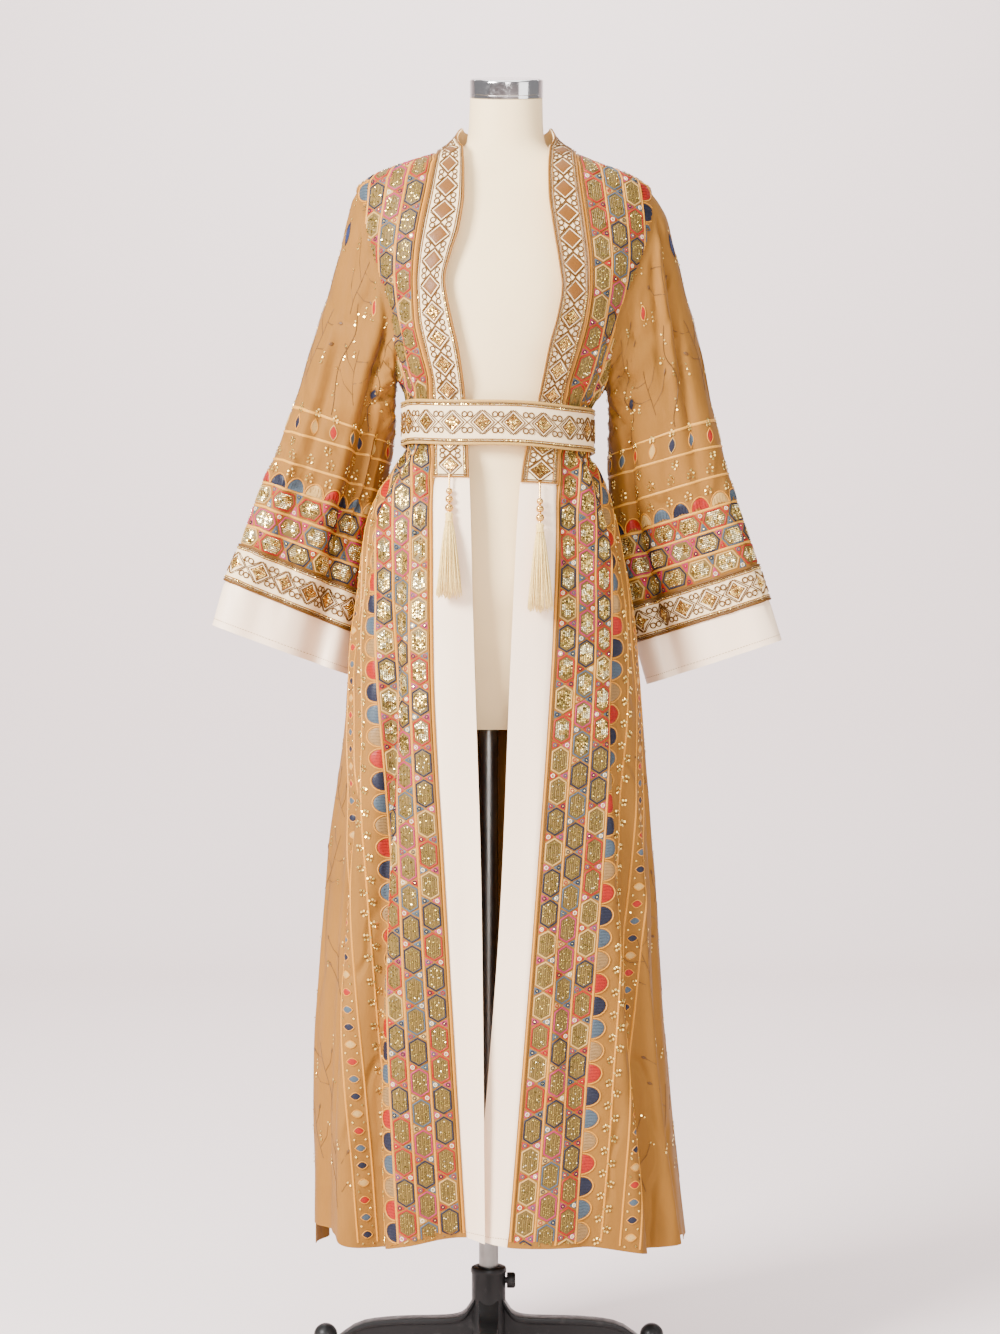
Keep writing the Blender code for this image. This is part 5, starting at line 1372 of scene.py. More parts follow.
def hexagon_column(work, u, start, end, across, colours, corner_tints, seed, glitter_at,
                   half_cell=COLUMN / 2.0, half=HEX_HALF, pitch=CELL):
    """A run of hexagons along v, or along u where they lie across."""
    rings = (SHELL, BLACK, RED, BLUE, SHELL, NAVY)
    for i in range(round((end - start) / pitch)):
        along = start + (i + 0.5) * pitch
        tint = colours[(i * 2 + seed + int(3.0 * scatter(i, seed))) % len(colours)]
        hexagon(work, *((along, u) if across else (u, along)), across, tint, glitter_at(along), half)
        pick, along = int(6.0 * scatter(i, seed, 2.0)), along + pitch / 2.0
        corner_pair(work, *((along, u) if across else (u, along)), across,
                    (corner_tints[pick % 3], corner_tints[(pick + 1) % 3]),
                    (rings[pick], rings[(pick + 3) % 6]), half_cell)


def line(work, u, start, end, across=False, width=LINE_WIDTH, tint=PEACH, height=0.0008):
    """A satin line with a paler stitch down its middle."""
    path = [(start, u), (end, u)] if across else [(u, start), (u, end)]
    work.thread(path, width, height, tint, step=0.006)
    work.thread(path, width * 0.35, height + 0.0003, darker(tint, 1.22), step=0.006)


def scallop(work, u, v, across, tint, deep, half):
    """A half disc on a line, with wavy satin rows and an arch round it."""
    def at(x, y):
        return (u + y, v + x) if across else (u + x, v + y)

    def arch(deep, half):
        turns = [math.pi * i / 10.0 for i in range(11)]
        return [at(deep * math.sin(turn), half * -math.cos(turn)) for turn in turns]

    work.satin(arch(deep, half)[::-1 if across else 1], tint, 0.0009)
    for i in range(1, 6):
        y = half * (i / 3.0 - 1.0)
        reach = deep * math.sqrt(max(0.0, 1.0 - (y / half) ** 2)) * 0.82
        if reach > 0.004:
            work.thread([at(0.0012, y), at(reach * 0.5, y + 0.0008), at(reach, y)], 0.0011, 0.0013,
                        darker(tint, 0.72))
    work.thread(arch(deep + 0.0016, half + 0.0014), 0.0018, 0.0010, PEACH)


def vine(work, u, v, turn, length, seed):
    """A thin branching stem with small leaves and a few gold sequins."""
    at, sway = pinned(u, v, turn), 0.012 * (scatter(seed, 1.0) - 0.5)

    def stem(f):
        return sway * math.sin(2.6 * f) * 2.0, length * f

    work.thread([at(*stem(f)) for f in np.linspace(0.0, 1.0, 9)], 0.0009, 0.0004, STEM)
    for i in range(4):
        side = 1.0 if i % 2 else -1.0
        x, y = stem(0.18 + 0.20 * i)
        reach = 0.020 + 0.012 * scatter(seed, i)
        tip = (x + side * reach, y + reach * 0.8)
        work.thread([at(x, y), at(x + side * reach * 0.6, y + reach * 0.3), at(*tip)], 0.0008, 0.0004, STEM)
        if scatter(seed, i, 4.0) < 0.45:
            work.leaf(*at(*tip), 0.0085, 0.0038, turn - side * 0.8, STEM)
        elif scatter(seed, i, 5.0) < 0.8:
            work.sequin(*at(*tip), 0.0016)
            work.sequin(*at(tip[0] + side * 0.003, tip[1] - 0.004), 0.0013)


def dots(work, u, v, seed):
    """A short trail of two or three gold sequins."""
    for i in range(2 + int(2.0 * scatter(seed, 6.0))):
        work.sequin(u + 0.0016 * math.sin(seed + i), v + 0.0052 * i, 0.0020 - 0.0003 * i)


def scatter_vines(work, low_u, high_u, high_v, seed):
    """Vines and dot trails in staggered rows, none quite in line."""
    for row, v in enumerate(np.arange(0.24, high_v, 0.130).tolist()):
        start = low_u + 0.01 + (0.0375 if row % 2 else 0.0)
        for column, u in enumerate(np.arange(start, high_u, 0.075).tolist()):
            off = scatter(row, column, seed)
            rise = 0.04 * off + (0.062 if column % 2 else 0.0)
            vine(work, u + 0.034 * (off - 0.5), v + rise, 1.3 * (scatter(column, row, seed) - 0.5),
                 0.070 + 0.030 * scatter(column, seed, row), seed + row * 7 + column)
            dots(work, u + 0.036, v + 0.05 + 0.04 * off, seed + column * 3 + row)
            dots(work, u - 0.010, v + 0.095, seed + column + row * 5)


def diamond_run(work, width, length, count, matte, closed, edge_tint):
    """The trim's pattern: outlined diamonds, crossing lines, pairs of curls and double gold cords."""
    middle, pitch, half = width / 2.0, length / count, DIAMOND_HALF
    reach = half + 0.0032

    def diamond(v, x, y):
        return [(middle + x, v), (middle, v + y), (middle - x, v), (middle, v - y)]

    for i in range(count):
        v = (i + 0.5) * pitch
        dull = matte(v)
        ground, height = (BRONZE, 0.0007) if dull else (darker(BRONZE, 0.7), 0.0003)
        work.satin(diamond(v, half, half * 1.02), ground, height)
        work.thread(diamond(v, reach, reach), 0.0015, 0.0010, CORD_GOLD, closed=True)
        for j, k in itertools.product(range(-4, 5), repeat=2):
            x, y = (j - k) * 0.0021 * 0.7071, (j + k) * 0.0021 * 0.7071
            if not dull and abs(x) + abs(y) < half - 0.0010:
                chance = scatter(i, j, k)
                tint = SEQUIN_GOLD if chance < 0.42 else SEQUIN_COPPER
                work.sequin(middle + x, v + y, 0.00115, tint if chance < 0.7 else darker(tint, 0.5))
        if not closed and i == count - 1:
            continue
        between = v + pitch / 2.0
        for sign in (-1.0, 1.0):
            crossing = [(middle - sign * reach, v + reach * 0.15), (middle, between),
                        (middle + sign * reach, between + pitch / 2.0 - reach * 0.15)]
            work.thread(crossing, 0.0014, 0.0008, CORD_GOLD, step=0.012)
            for rise in (-0.0038, 0.0038):
                work.ring(middle + sign * 0.0104, between + rise, 0.0035, 0.0018, CORD_GOLD, 0.0012, 10)
    if not closed:
        for v, thick, tint in ((0.0012, 0.0026, TAN_THREAD), (0.0040, 0.0015, CORD_GOLD)):
            line(work, v, 0.0, width, across=True, width=thick, height=0.0012, tint=tint)
    cords = [(0.0012, 0.0038, 0.0013, edge_tint), (0.0042, 0.0018, 0.0012, CORD_GOLD),
             (0.0068, 0.0016, 0.0010, TAN_THREAD)]
    for edge, inward in ((0.0, 1.0), (width, -1.0)):
        for offset, thick, high, tint in cords:
            line(work, edge + inward * offset, 0.0, length, width=thick, height=high, tint=tint)
        for i in range(int(length / 0.0031)):
            v = (i + 0.5) * 0.0031
            if not matte(v) and scatter(i, edge * 100.0) < 0.75:
                work.sequin(edge + inward * 0.0055, v, 0.00105, lift=0.0012)


def stitch_trim(name, layout, count, matte=lambda v: False, closed=False, edge_tint=TAN_THREAD):
    work = Needlework()
    diamond_run(work, layout.width, layout.length, count, matte, closed, edge_tint)
    work.lay(name + "_stitches", layout, 5)


def front_work(side):
    """Stitches of one front: border, hexagon columns, scallops, sprigs and lens leaves, then vines."""
    low, high, turn = 0.190, 1.660, 0 if side == "left" else 1
    bands, strewn = Needlework(), Needlework()
    line(bands, BORDER - 0.0008, low, high, width=0.0030)
    line(bands, BORDER + 0.0018, low, high, width=0.0014, tint=CORD_GOLD)
    orders = ((NAVY, CREAM, RED), (PINK, NAVY, BLUE), (NAVY, RED, CREAM))
    for column in range(3):
        u = BORDER + 0.002 + COLUMN * (column + 0.5)
        start = low - CELL * (0.5 if column == 1 else 0.08 * turn)
        hexagon_column(bands, u, start, high, False, orders[column],
                       # glitter by height: low above the chest and on the lower skirt, where the fill is dull
                       # thread; it also sets the share of sequins painted as lit
                       ((RED, PINK, BLUE), (BLUE, RED, CREAM))[column % 2], column + 3 * turn,
                       lambda v: 0.22 + 0.50 * ramp(v, 1.34, 1.12) - 0.50 * ramp(v, 0.98, 0.80))
        line(bands, u + COLUMN / 2.0, low, high)
    foot = BORDER + 0.002 + COLUMN * 3 + LINE_WIDTH / 2.0
    tints = (RED, BEIGE, BLUE, NAVY) if side == "left" else (BLUE, NAVY, RED, BEIGE)
    for i in range(int((high - low) / SCALLOP_PITCH)):
        v = low + (i + 0.5) * SCALLOP_PITCH
        scallop(strewn, foot, v, False, tints[i % 4], 0.0168 + 0.0040 * ramp(v, 0.80, 1.00), 0.0121)
        strewn.sprig(foot + 0.0225, v + SCALLOP_PITCH / 2.0, -1.2, 0.9)
        strewn.sprig(foot + 0.0460, v, 1.2 if i % 2 else 1.6, 0.9)
    for offset in (0.0345, 0.0600, 0.0870):
        line(strewn, foot + offset, low, high, width=0.0030)
    for i in range(int((high - low) / LEAF_PITCH)):
        v = low + (i + 0.5) * LEAF_PITCH
        strewn.leaf(foot + 0.0735, v, 0.0150, 0.0098, 1.57, (RED, CREAM, NAVY, BLUE)[(i + turn) % 4], PEACH)
        strewn.sequin(foot + 0.0660, v + LEAF_PITCH / 2.0, 0.0016)
        strewn.sequin(foot + 0.0810, v + LEAF_PITCH / 2.0, 0.0016)
    scatter_vines(strewn, foot + 0.105, foot + 0.300, 1.20, 11.0 + turn)
    return bands, strewn


def sleeve_work(side, layout):
    """Stitches of one sleeve: lens leaves, sprigs, scallops, three hexagon rows, vines above."""
    bands, strewn = Needlework(), Needlework()
    heights = [layout.climb_at_height(z) for z in SLEEVE_LINES[side]] + [layout.climb_at(SLEEVE_TRIM_START)]
    girth, turn = layout.round, 0 if side == "left" else 2
    for i, v in enumerate(heights[:6]):
        line(bands if i > 2 else strewn, v, 0.0, girth, across=True, width=0.0034, tint=SAND)
    cell = girth / round(girth / CELL)
    orders = ((NAVY, RED, CREAM), (PINK, BLUE, NAVY), (NAVY, CREAM, RED))
    for row in range(3):
        high, low, shift = heights[3 + row], heights[4 + row], 0.5 * cell * (row % 2)
        half_cell = (high - low) / 2.0
        # sleeve hexagons glitter at 0.72: sequin fill, most of it with a full tint as painted light, and more
        # painted-glint patches
        hexagon_column(bands, (high + low) / 2.0, shift, girth + shift, True, orders[row], (RED, BLUE, PINK),
                       row + turn, lambda u: 0.72, half_cell, (min(half_cell - 0.0026, 0.0118), 0.0170), cell)
    pitch = girth / round(girth / SCALLOP_PITCH)
    for i in range(round(girth / pitch)):
        u = (i + 0.5) * pitch
        tint = (BLUE, CREAM, RED, NAVY)[(i + turn) % 4]
        scallop(strewn, u, heights[3] + 0.0016, True, tint, 0.0165, 0.0124)
        strewn.sprig(u + 0.5 * pitch, heights[3] + 0.0170, 0.0, 1.1)
        strewn.sprig(u + 0.3 * pitch, heights[2] + 0.0035, 0.2 * math.sin(i), 1.2)
        if i % 2:
            strewn.sprig(u, heights[1] - 0.0040, math.pi)
    leaves = round(girth / 0.031)
    for i in range(leaves):
        u = (i + 0.4) * girth / leaves
        strewn.leaf(u, (heights[0] + heights[1]) / 2.0 - 0.001, 0.0200, 0.0105, 0.12,
                    (CREAM, RED, BLUE, NAVY)[(i + turn) % 4], PEACH if i % 3 else CREAM)
        strewn.sprig(u, heights[1] + 0.0262, 0.0, 0.8)
    top = layout.climb[0] - 0.05
    for row, v in enumerate(np.arange(heights[0] + 0.030, top, 0.085).tolist()):
        for i in range(5):
            u = girth * (i + 0.5 * (row % 2) + 0.3) / 5.0
            vine(strewn, u, v, 0.5 * (scatter(row, i, turn) - 0.5), 0.070, row * 5 + i + turn)
            dots(strewn, u + 0.030, v + 0.020, i + row)
            dots(strewn, u - 0.018, v + 0.055, i * 3 + row)
            if (i + row) % 2:
                tint, edge = ((ROYAL, NAVY), (NAVY, CORD_GOLD), (RED, SAND))[(i + 2 * row) % 3]
                strewn.leaf(u + 0.045, v + 0.045, 0.0190, 0.0095, 0.1, tint, edge)
                for x, y in ((-0.004, -0.013), (0.0, -0.015), (0.004, -0.013), (0.0, 0.0135)):
                    strewn.sequin(u + 0.045 + x, v + 0.045 + y, 0.0014)
    for i in range(6):           # long stems from the upper sleeve down to the highest line
        sway, share = 0.003 + 0.004 * scatter(i, turn, 3.0), 0.92 - 0.22 * scatter(i, turn)
        stem = [(girth * (i + 0.15) / 6.0 + sway * math.sin(9.0 * f + i),
                 heights[0] + 0.005 + (top - heights[0]) * share * f) for f in np.linspace(0.0, 1.0, 19)]
        strewn.thread(stem, 0.0012, 0.0006, darker(STEM, 0.8))
        for j in range(1, 18, 2):
            u, v = stem[j][0] + (0.0038 if j % 4 == 1 else -0.0038), stem[j][1]
            strewn.sequin(u, v, 0.0017)
            if j % 3 == 0:
                strewn.sequin(u, v + 0.0042, 0.0014)
    return bands, strewn


def lay_both(name, layout, bands, strewn):
    bands.lay(name + "_hexagons", layout, 5)
    strewn.lay(name + "_sprigs", layout)


# ---- tassels -------------------------------------------------------------------------------------
def tassel_place(side):
    """A matrix that hangs a tassel down the skirt's slope: Z is up along its cord."""
    size = TASSELS[side]
    top = Vector(front_point(size["x"], size["cord"])) + Vector((0.0, -0.0060, 0.0))
    low = Vector(front_point(size["x"], size["tip"])) + Vector((0.0, -TASSEL_SPREAD - 0.0040, 0.0))
    up = (top - low).normalized()
    middle = Vector(front_point(size["x"], size["beads"][2])) + Vector((0.0, -0.0095, 0.0))
    forward = middle.y - (low + up * ((middle.z - low.z) / up.z)).y
    if forward < 0.0:            # the lowest bead has to clear the cloth too
        low.y += forward
        top.y += forward
    up = (top - low).normalized()
    return Matrix.Translation(top) @ up.to_track_quat("Z", "Y").to_matrix().to_4x4(), up.z


def make_tassel_cord(side):
    size = TASSELS[side]
    place, slope = tassel_place(side)
    profile = [(CORD_RADIUS, 0.0)]
    for height, radius in zip(size["beads"], BEAD_RADII):
        profile += arc(radius, 75, -76, -10, (0.0, (height - size["cord"]) / slope))
    profile.append((CORD_RADIUS, (size["head"] - size["cord"]) / slope + PART_GAP))
    turned("Tassel_cord_" + side, profile[::-1], 24, "bead_gold", place)


def make_tassel(side, strands):
    """The bound head, and fine strands that leave it and hang in a slow spread."""
    size = TASSELS[side]
    place, slope = tassel_place(side)
    top, end, tip = ((size[key] - size["cord"]) / slope for key in ("head", "head_end", "tip"))
    profile = [(0.0018, top), (0.0040, top - 0.0008), (TASSEL_HEAD_RADIUS, top - 0.0026)]
    windings = 7
    for i in range(windings):
        share = (i + 0.5) / windings
        z = top - 0.0030 + (end - top + 0.0034) * share
        waist = TASSEL_HEAD_RADIUS * (1.0 - 0.12 * math.sin(math.pi * share))
        profile += [(waist, z + 0.0004), (waist - 0.0004, z - 0.0004)]
    profile.append((TASSEL_HEAD_RADIUS, end))
    turned("Tassel_head_" + side, profile, 20, "silk", place, stands_for="tassel_" + side)
    verts, faces, rows, neck = [], [], 7, TASSEL_HEAD_RADIUS * 0.82
    for i in range(strands):
        ring = math.sqrt((i + 0.5) / strands)
        turn = i * 2.399963 + 0.4 * scatter(i, 3.0)
        out = Vector((math.cos(turn), math.sin(turn), 0.0))
        length = 1.0 - 0.05 * scatter(i, 5.0) - 0.03 * ring
        width = 0.00060 + 0.00025 * scatter(i, 9.0)
        bend = 0.0011 * (scatter(i, 11.0) - 0.5)
        faces += capped(rows, 4, len(verts))
        for step in range(rows):
            f = step / (rows - 1.0)
            reach = (neck + (TASSEL_SPREAD * 0.93 - neck) * f ** 0.8) * ring
            middle = out * reach + Vector((-out.y, out.x, 0.0)) * (bend * math.sin(5.0 * f + i))
            middle.z = end + 0.0015 + (tip - end - 0.0015) * length * f
            thick = width * (0.8 + 0.5 * f - 0.6 * f * f)
            for k in range(4):
                corner = 0.5 * math.pi * k + turn
                verts.append(place @ (middle + Vector((math.cos(corner), math.sin(corner), 0.0)) * thick))
    face_outwards(mesh_piece("Tassel_strands_" + side, verts, faces, "silk"))


# ---- form and stand ------------------------------------------------------------------------------
def make_torso():
    height = np.concatenate([np.linspace(TORSO_FLOOR_Z, 1.60, 40), np.linspace(1.61, NECK_TOP_Z, 26)])
    height = height[:, None]
    turn = np.radians(np.linspace(0.0, 360.0, 96, endpoint=False))
    centre = POLE_X + (CAP_X - POLE_X) * ramp(height, 0.70, 1.80)
    depth = np.where(np.cos(turn) > 0.0, -TORSO("front_y", height), TORSO("back_y", height))
    x = centre + TORSO("half_x", height) * signed_power(np.sin(turn), 0.9)
    y = -depth * signed_power(np.cos(turn), 0.9)
    z = height + y * math.tan(NECK_TILT) * ramp(height, 1.655, NECK_TOP_Z)
    loft("Form_torso", stacked(x, y, z), "form_cover")


def make_neck_cap():
    place = Matrix.Translation((CAP_X, 0.0, NECK_TOP_Z + PART_GAP)) @ Matrix.Rotation(NECK_TILT, 4, "X")
    profile = [(CAP_RADIUS - 0.0006, 0.0), (CAP_RADIUS, 0.0006), (CAP_RADIUS, 0.0040),
               (CAP_RADIUS - 0.0005, 0.0046), (CAP_RADIUS, 0.0052)]
    profile += arc(0.004, 0, 91, 10, (CAP_RADIUS - 0.004, CAP_HEIGHT - 0.004))
    turned("Neck_cap", profile + [(0.030, CAP_HEIGHT), (0.012, CAP_HEIGHT)], 96, "chrome", place)


def make_pole():
    profile = [(POLE_RADIUS - 0.001, POLE_FOOT_Z), (POLE_RADIUS, POLE_FOOT_Z + 0.001),
               (POLE_RADIUS, TORSO_FLOOR_Z - PART_GAP)]
    turned("Pole", profile, 64, "steel", Matrix.Translation((POLE_X, 0.0, 0.0)), body="pole")


def make_hub():
    """The socket that the pole slides in: a rolled rim, a waist bead and a drilled screw hole."""
    bore = POLE_RADIUS + POLE_CLEARANCE
    outline = [(bore, HUB_TOP_Z - 0.0015), (bore + 0.0012, HUB_TOP_Z), (HUB_RADIUS - 0.0032, HUB_TOP_Z),
               (HUB_RADIUS - 0.0010, HUB_TOP_Z - 0.0010), (HUB_RADIUS, HUB_TOP_Z - 0.0032),
               (HUB_RADIUS, HUB_TOP_Z - 0.0075), (HUB_RADIUS - 0.0012, HUB_TOP_Z - 0.0092),
               (HUB_RADIUS - 0.0012, HUB_FOOT_Z + 0.045), (HUB_RADIUS, HUB_FOOT_Z + 0.040),
               (HUB_RADIUS, HUB_FOOT_Z), (HUB_RADIUS - 0.0012, HUB_FOOT_Z - 0.0036),
               (HUB_RADIUS - 0.004, HUB_FOOT_Z - 0.006), (bore, HUB_FOOT_Z - 0.006)]
    hub = turned("Hub", outline, 72, "iron", Matrix.Translation((POLE_X, 0.0, 0.0)), hollow=True, body="base",
                 stands_for="base_hub")
    drill = bmesh.new()
    bmesh.ops.create_cone(drill, cap_ends=True, segments=32, radius1=SCREW_HOLE_RADIUS,
                          radius2=SCREW_HOLE_RADIUS, depth=0.03,
                          matrix=Matrix.Translation((POLE_X + HUB_RADIUS, 0.0, SCREW_Z))
                          @ Matrix.Rotation(math.radians(90.0), 4, "Y"))
    mesh = bpy.data.meshes.new("Screw_hole")
    drill.to_mesh(mesh)
    drill.free()
    cutter = bpy.data.objects.new("Screw_hole", mesh)
    bpy.context.scene.collection.objects.link(cutter)
    cut = hub.modifiers.new("Hole", "BOOLEAN")
    cut.operation, cut.solver, cut.object = "DIFFERENCE", "EXACT", cutter
    smooth_but_edges(made_real(hub, cut))
    bpy.data.objects.remove(cutter)


def make_screw():
    """Knurled thumb knob on a plain shank."""
    start, head, knob = POLE_RADIUS + 0.0005, HUB_RADIUS + 0.0006, SCREW_HEAD_RADIUS
    place = Matrix.Translation((POLE_X, 0.0, SCREW_Z)) @ Matrix.Rotation(math.radians(90.0), 4, "Y")
    profile = [(0.0034, start), (0.0042, start + 0.0008), (0.0042, head), (knob - 0.0008, head),
               (knob, head + 0.0009), (knob, head + 0.0090), (knob - 0.0008, head + 0.0104),
               (knob - 0.002, head + 0.0115), (knob - 0.006, head + 0.0115)]
    rings = [circle(r, 72, z) for r, z in profile]
    for i in (4, 5):             # the knurled rings of the knob
        rings[i][::3] = circle(knob - 0.0005, 72, profile[i][1])[::3]
    loft("Clamp_screw", [[place @ p for p in ring] for ring in rings], "iron", body="clamp_screw")


def make_leg(number):
    place = Matrix.Translation((POLE_X, 0.0, 0.0)) @ Matrix.Rotation(math.radians(90.0 * number), 4, "Z")
    root = HUB_RADIUS - 0.005    # the casting runs on into the hub's wall, with a hollow sweep up to it
    tip = LEG_REACH - FOOT_RADIUS + 0.0085     # and into the round foot
    shape = Table("x top height lip web", [
        (root, 0.1120, 0.0570, 0.0136, 0.0100), (0.0240, 0.1045, 0.0495, 0.0134, 0.0098),
        (0.0300, 0.0950, 0.0400, 0.0132, 0.0094), (0.0380, 0.0893, 0.0338, 0.0130, 0.0090),
        (0.0480, 0.0870, 0.0300, 0.0128, 0.0085), (0.060, 0.086, 0.026, 0.0125, 0.008),
        (0.110, 0.085, 0.023, 0.012, 0.0075), (0.160, 0.081, 0.021, 0.0115, 0.007),
        (0.188, 0.071, 0.022, 0.011, 0.007), (0.2035, 0.058, 0.022, 0.010, 0.007),
        (tip, 0.0515, 0.022, 0.0094, 0.007)])
    rings = []
    for x in root + (tip - root) * np.linspace(0.0, 1.0, 22) ** 1.7:
        top, height, lip, web = (float(shape(name, x)) for name in ("top", "height", "lip", "web"))
        half = [(lip, top), (lip, top - 0.006), (web, top - 0.009), (web, top - height)]
        outline = [(-lip, top)] + half + [(-y, z) for y, z in half[:0:-1]]
        rings.append([place @ Vector((x, y, z)) for y, z in outline])
    leg = loft("Leg_%d" % (number + 1), rings, "iron", body="base")
    bevel = leg.modifiers.new("Bevel", "BEVEL")
    bevel.width, bevel.segments = 0.0012, 2
    bevel.limit_method, bevel.angle_limit = "ANGLE", math.radians(30.0)
    smooth_but_edges(made_real(leg, bevel))


def make_foot(number):
    angle = math.radians(90.0 * number)
    place = Matrix.Translation((POLE_X + LEG_REACH * math.cos(angle), LEG_REACH * math.sin(angle), 0.0))
    rise = FOOT_TOP_Z - FOOT_RADIUS
    profile = [(FOOT_RADIUS - 0.002, 0.0), (FOOT_RADIUS - 0.0008, 0.0008), (FOOT_RADIUS, 0.003),
               (FOOT_RADIUS, rise - 0.030), (FOOT_RADIUS - 0.0010, rise - 0.028),
               (FOOT_RADIUS - 0.0010, rise - 0.006), (FOOT_RADIUS, rise - 0.004), (FOOT_RADIUS, rise)]
    profile += arc(FOOT_RADIUS, 10, 84, 8, (0.0, rise))
    turned("Foot_%d" % (number + 1), profile, 48, "iron", place, body="base")


# ---- settings ------------------------------------------------------------------------------------
def colour_setting(name, text, value):
    return FloatVectorProperty(name=name, description=text, default=value, subtype="COLOR", size=3,
                               min=0.0, max=1.0)


class AbayaCloth(bpy.types.PropertyGroup):
    """Colours of the cloak's cloths."""

    cloth: colour_setting("Cloth", "Colour of the body and sleeves", (0.248, 0.105, 0.0165))
    satin: colour_setting("Satin", "Colour of the front bands and cuffs", (0.97, 0.745, 0.530))
    trim_ground: colour_setting("Trim ground", "Ground of the trims and the belt", (0.94, 0.700, 0.400))


class AbayaStand(bpy.types.PropertyGroup):
    """Finishes of the dress form and its stand."""

    form_cover: colour_setting("Form cover", "Stretched cover of the form", (0.91, 0.690, 0.380))
    chrome: colour_setting("Cap", "Polished neck cap", (0.62, 0.60, 0.59))
    steel: colour_setting("Pole", "Brushed steel pole", (0.25, 0.24, 0.225))
    iron: colour_setting("Iron", "Painted cast base", (0.009, 0.0085, 0.0085))
    strands: IntProperty(name="Tassel strands", description="Silk strands in each tassel", default=110,
                         min=20, max=400)


class AbayaStudio(bpy.types.PropertyGroup):
    """The floor, the lights and the camera."""

    backdrop: colour_setting("Backdrop", "Colour of the floor and wall", (0.90, 0.775, 0.755))
    distance: FloatProperty(name="Camera distance", description="From the middle of the object", default=3.5,
                            min=1.0, max=20.0, unit="LENGTH")
    lens: FloatProperty(name="Lens", description="Focal length in millimetres", default=46.64,
                        min=10.0, max=300.0)
    brightness: FloatProperty(name="Brightness", description="Factor on every light", default=1.0,
                              min=0.0, max=10.0)


# ---- operators -----------------------------------------------------------------------------------
class Step:
    """One button, which makes its pieces anew in the scene."""

    def execute(self, context):
        self.make(context.scene)
        return {"FINISHED"}


class ABAYA_OT_materials(Step, bpy.types.Operator):
    """Mixes the cloth, thread, metal and iron finishes"""

    bl_idname = "abaya.materials"
    bl_label = "Mix Finishes"

    def make(self, scene):
        mix_finishes(scene.abaya_cloth, scene.abaya_stand)


class ABAYA_OT_cloth(Step, bpy.types.Operator):
    """Cuts and hangs the tan fronts, back and sleeves"""

    bl_idname = "abaya.cloth"
    bl_label = "Cut Cloak"

    def make(self, scene):
        make_back()
        for side in SIDES:
            make_front(side)
            cloth_shell("Sleeve_" + side, *ring_grid(side, 0.0, SLEEVE_END, 84), closed=True)


class ABAYA_OT_satin(Step, bpy.types.Operator):
    """Sews on the plain satin bands and cuffs"""

    bl_idname = "abaya.satin"
    bl_label = "Sew Satin Bands"

    def make(self, scene):
        for side in SIDES:
            make_band(side)
            make_cuff(side)


class ABAYA_OT_trims(Step, bpy.types.Operator):
    """Lays the diamond trims and the belt"""

    bl_idname = "abaya.trims"
    bl_label = "Lay Trims And Belt"

    def make(self, scene):
        for side in SIDES:
            strip = StripLayout(*front_trim_rows(side), side == "right")
            make_strip("Front_trim_" + side, strip)
            dull_from = float(np.interp(DULL_FROM_Z, strip.levels[:, 4], strip.run))
            stitch_trim("Front_trim_" + side, strip, 15, lambda v, start=dull_from: v > start)
            rings = ring_grid(side, SLEEVE_TRIM_START, SLEEVE_END, 10, lift=TRIM_LIFT)
            cloth_shell("Sleeve_trim_" + side, *rings, TRIM, "trim", closed=True)
            cuff = CuffTrimLayout(side)
            stitch_trim("Sleeve_trim_" + side, cuff, round(cuff.length / DIAMOND_PITCH), closed=True,
                        edge_tint=CORD_GOLD)
        collar = StripLayout(*collar_rows())
        make_strip("Collar_trim", collar)
        stitch_trim("Collar_trim", collar, 7, lambda v: True)
        make_belt()
        stitch_trim("Belt", BeltLayout(), 19, closed=True, edge_tint=CREAM)


class ABAYA_OT_front_needlework(Step, bpy.types.Operator):
    """Embroiders the two fronts and the back"""

    bl_idname = "abaya.front_needlework"
    bl_label = "Embroider Fronts And Back"

    def make(self, scene):
        for side in SIDES:
            lay_both("Front_" + side, front_layout(side), *front_work(side))
        back = Needlework()
        scatter_vines(back, 0.030, 0.80, 1.50, 31.0)
        back.lay("Back_vines", back_layout())


class ABAYA_OT_sleeve_needlework(Step, bpy.types.Operator):
    """Embroiders the two sleeves"""

    bl_idname = "abaya.sleeve_needlework"
    bl_label = "Embroider Sleeves"

    def make(self, scene):
        for side in SIDES:
            layout = SleeveLayout(side)
            lay_both("Sleeve_" + side, layout, *sleeve_work(side, layout))


class ABAYA_OT_tassels(Step, bpy.types.Operator):
    """Hangs the two beaded tassels"""

    bl_idname = "abaya.tassels"
    bl_label = "Hang Tassels"

    def make(self, scene):
        for side in SIDES:
            make_tassel_cord(side)
            make_tassel(side, scene.abaya_stand.strands)


class ABAYA_OT_stand(Step, bpy.types.Operator):
    """Sets up the dress form, its pole and its cast base"""

    bl_idname = "abaya.stand"
    bl_label = "Set Up Form And Stand"

    def make(self, scene):
        for make_part in (make_torso, make_neck_cap, make_pole, make_hub, make_screw):
            make_part()
        for number in range(4):
            make_leg(number)
            make_foot(number)


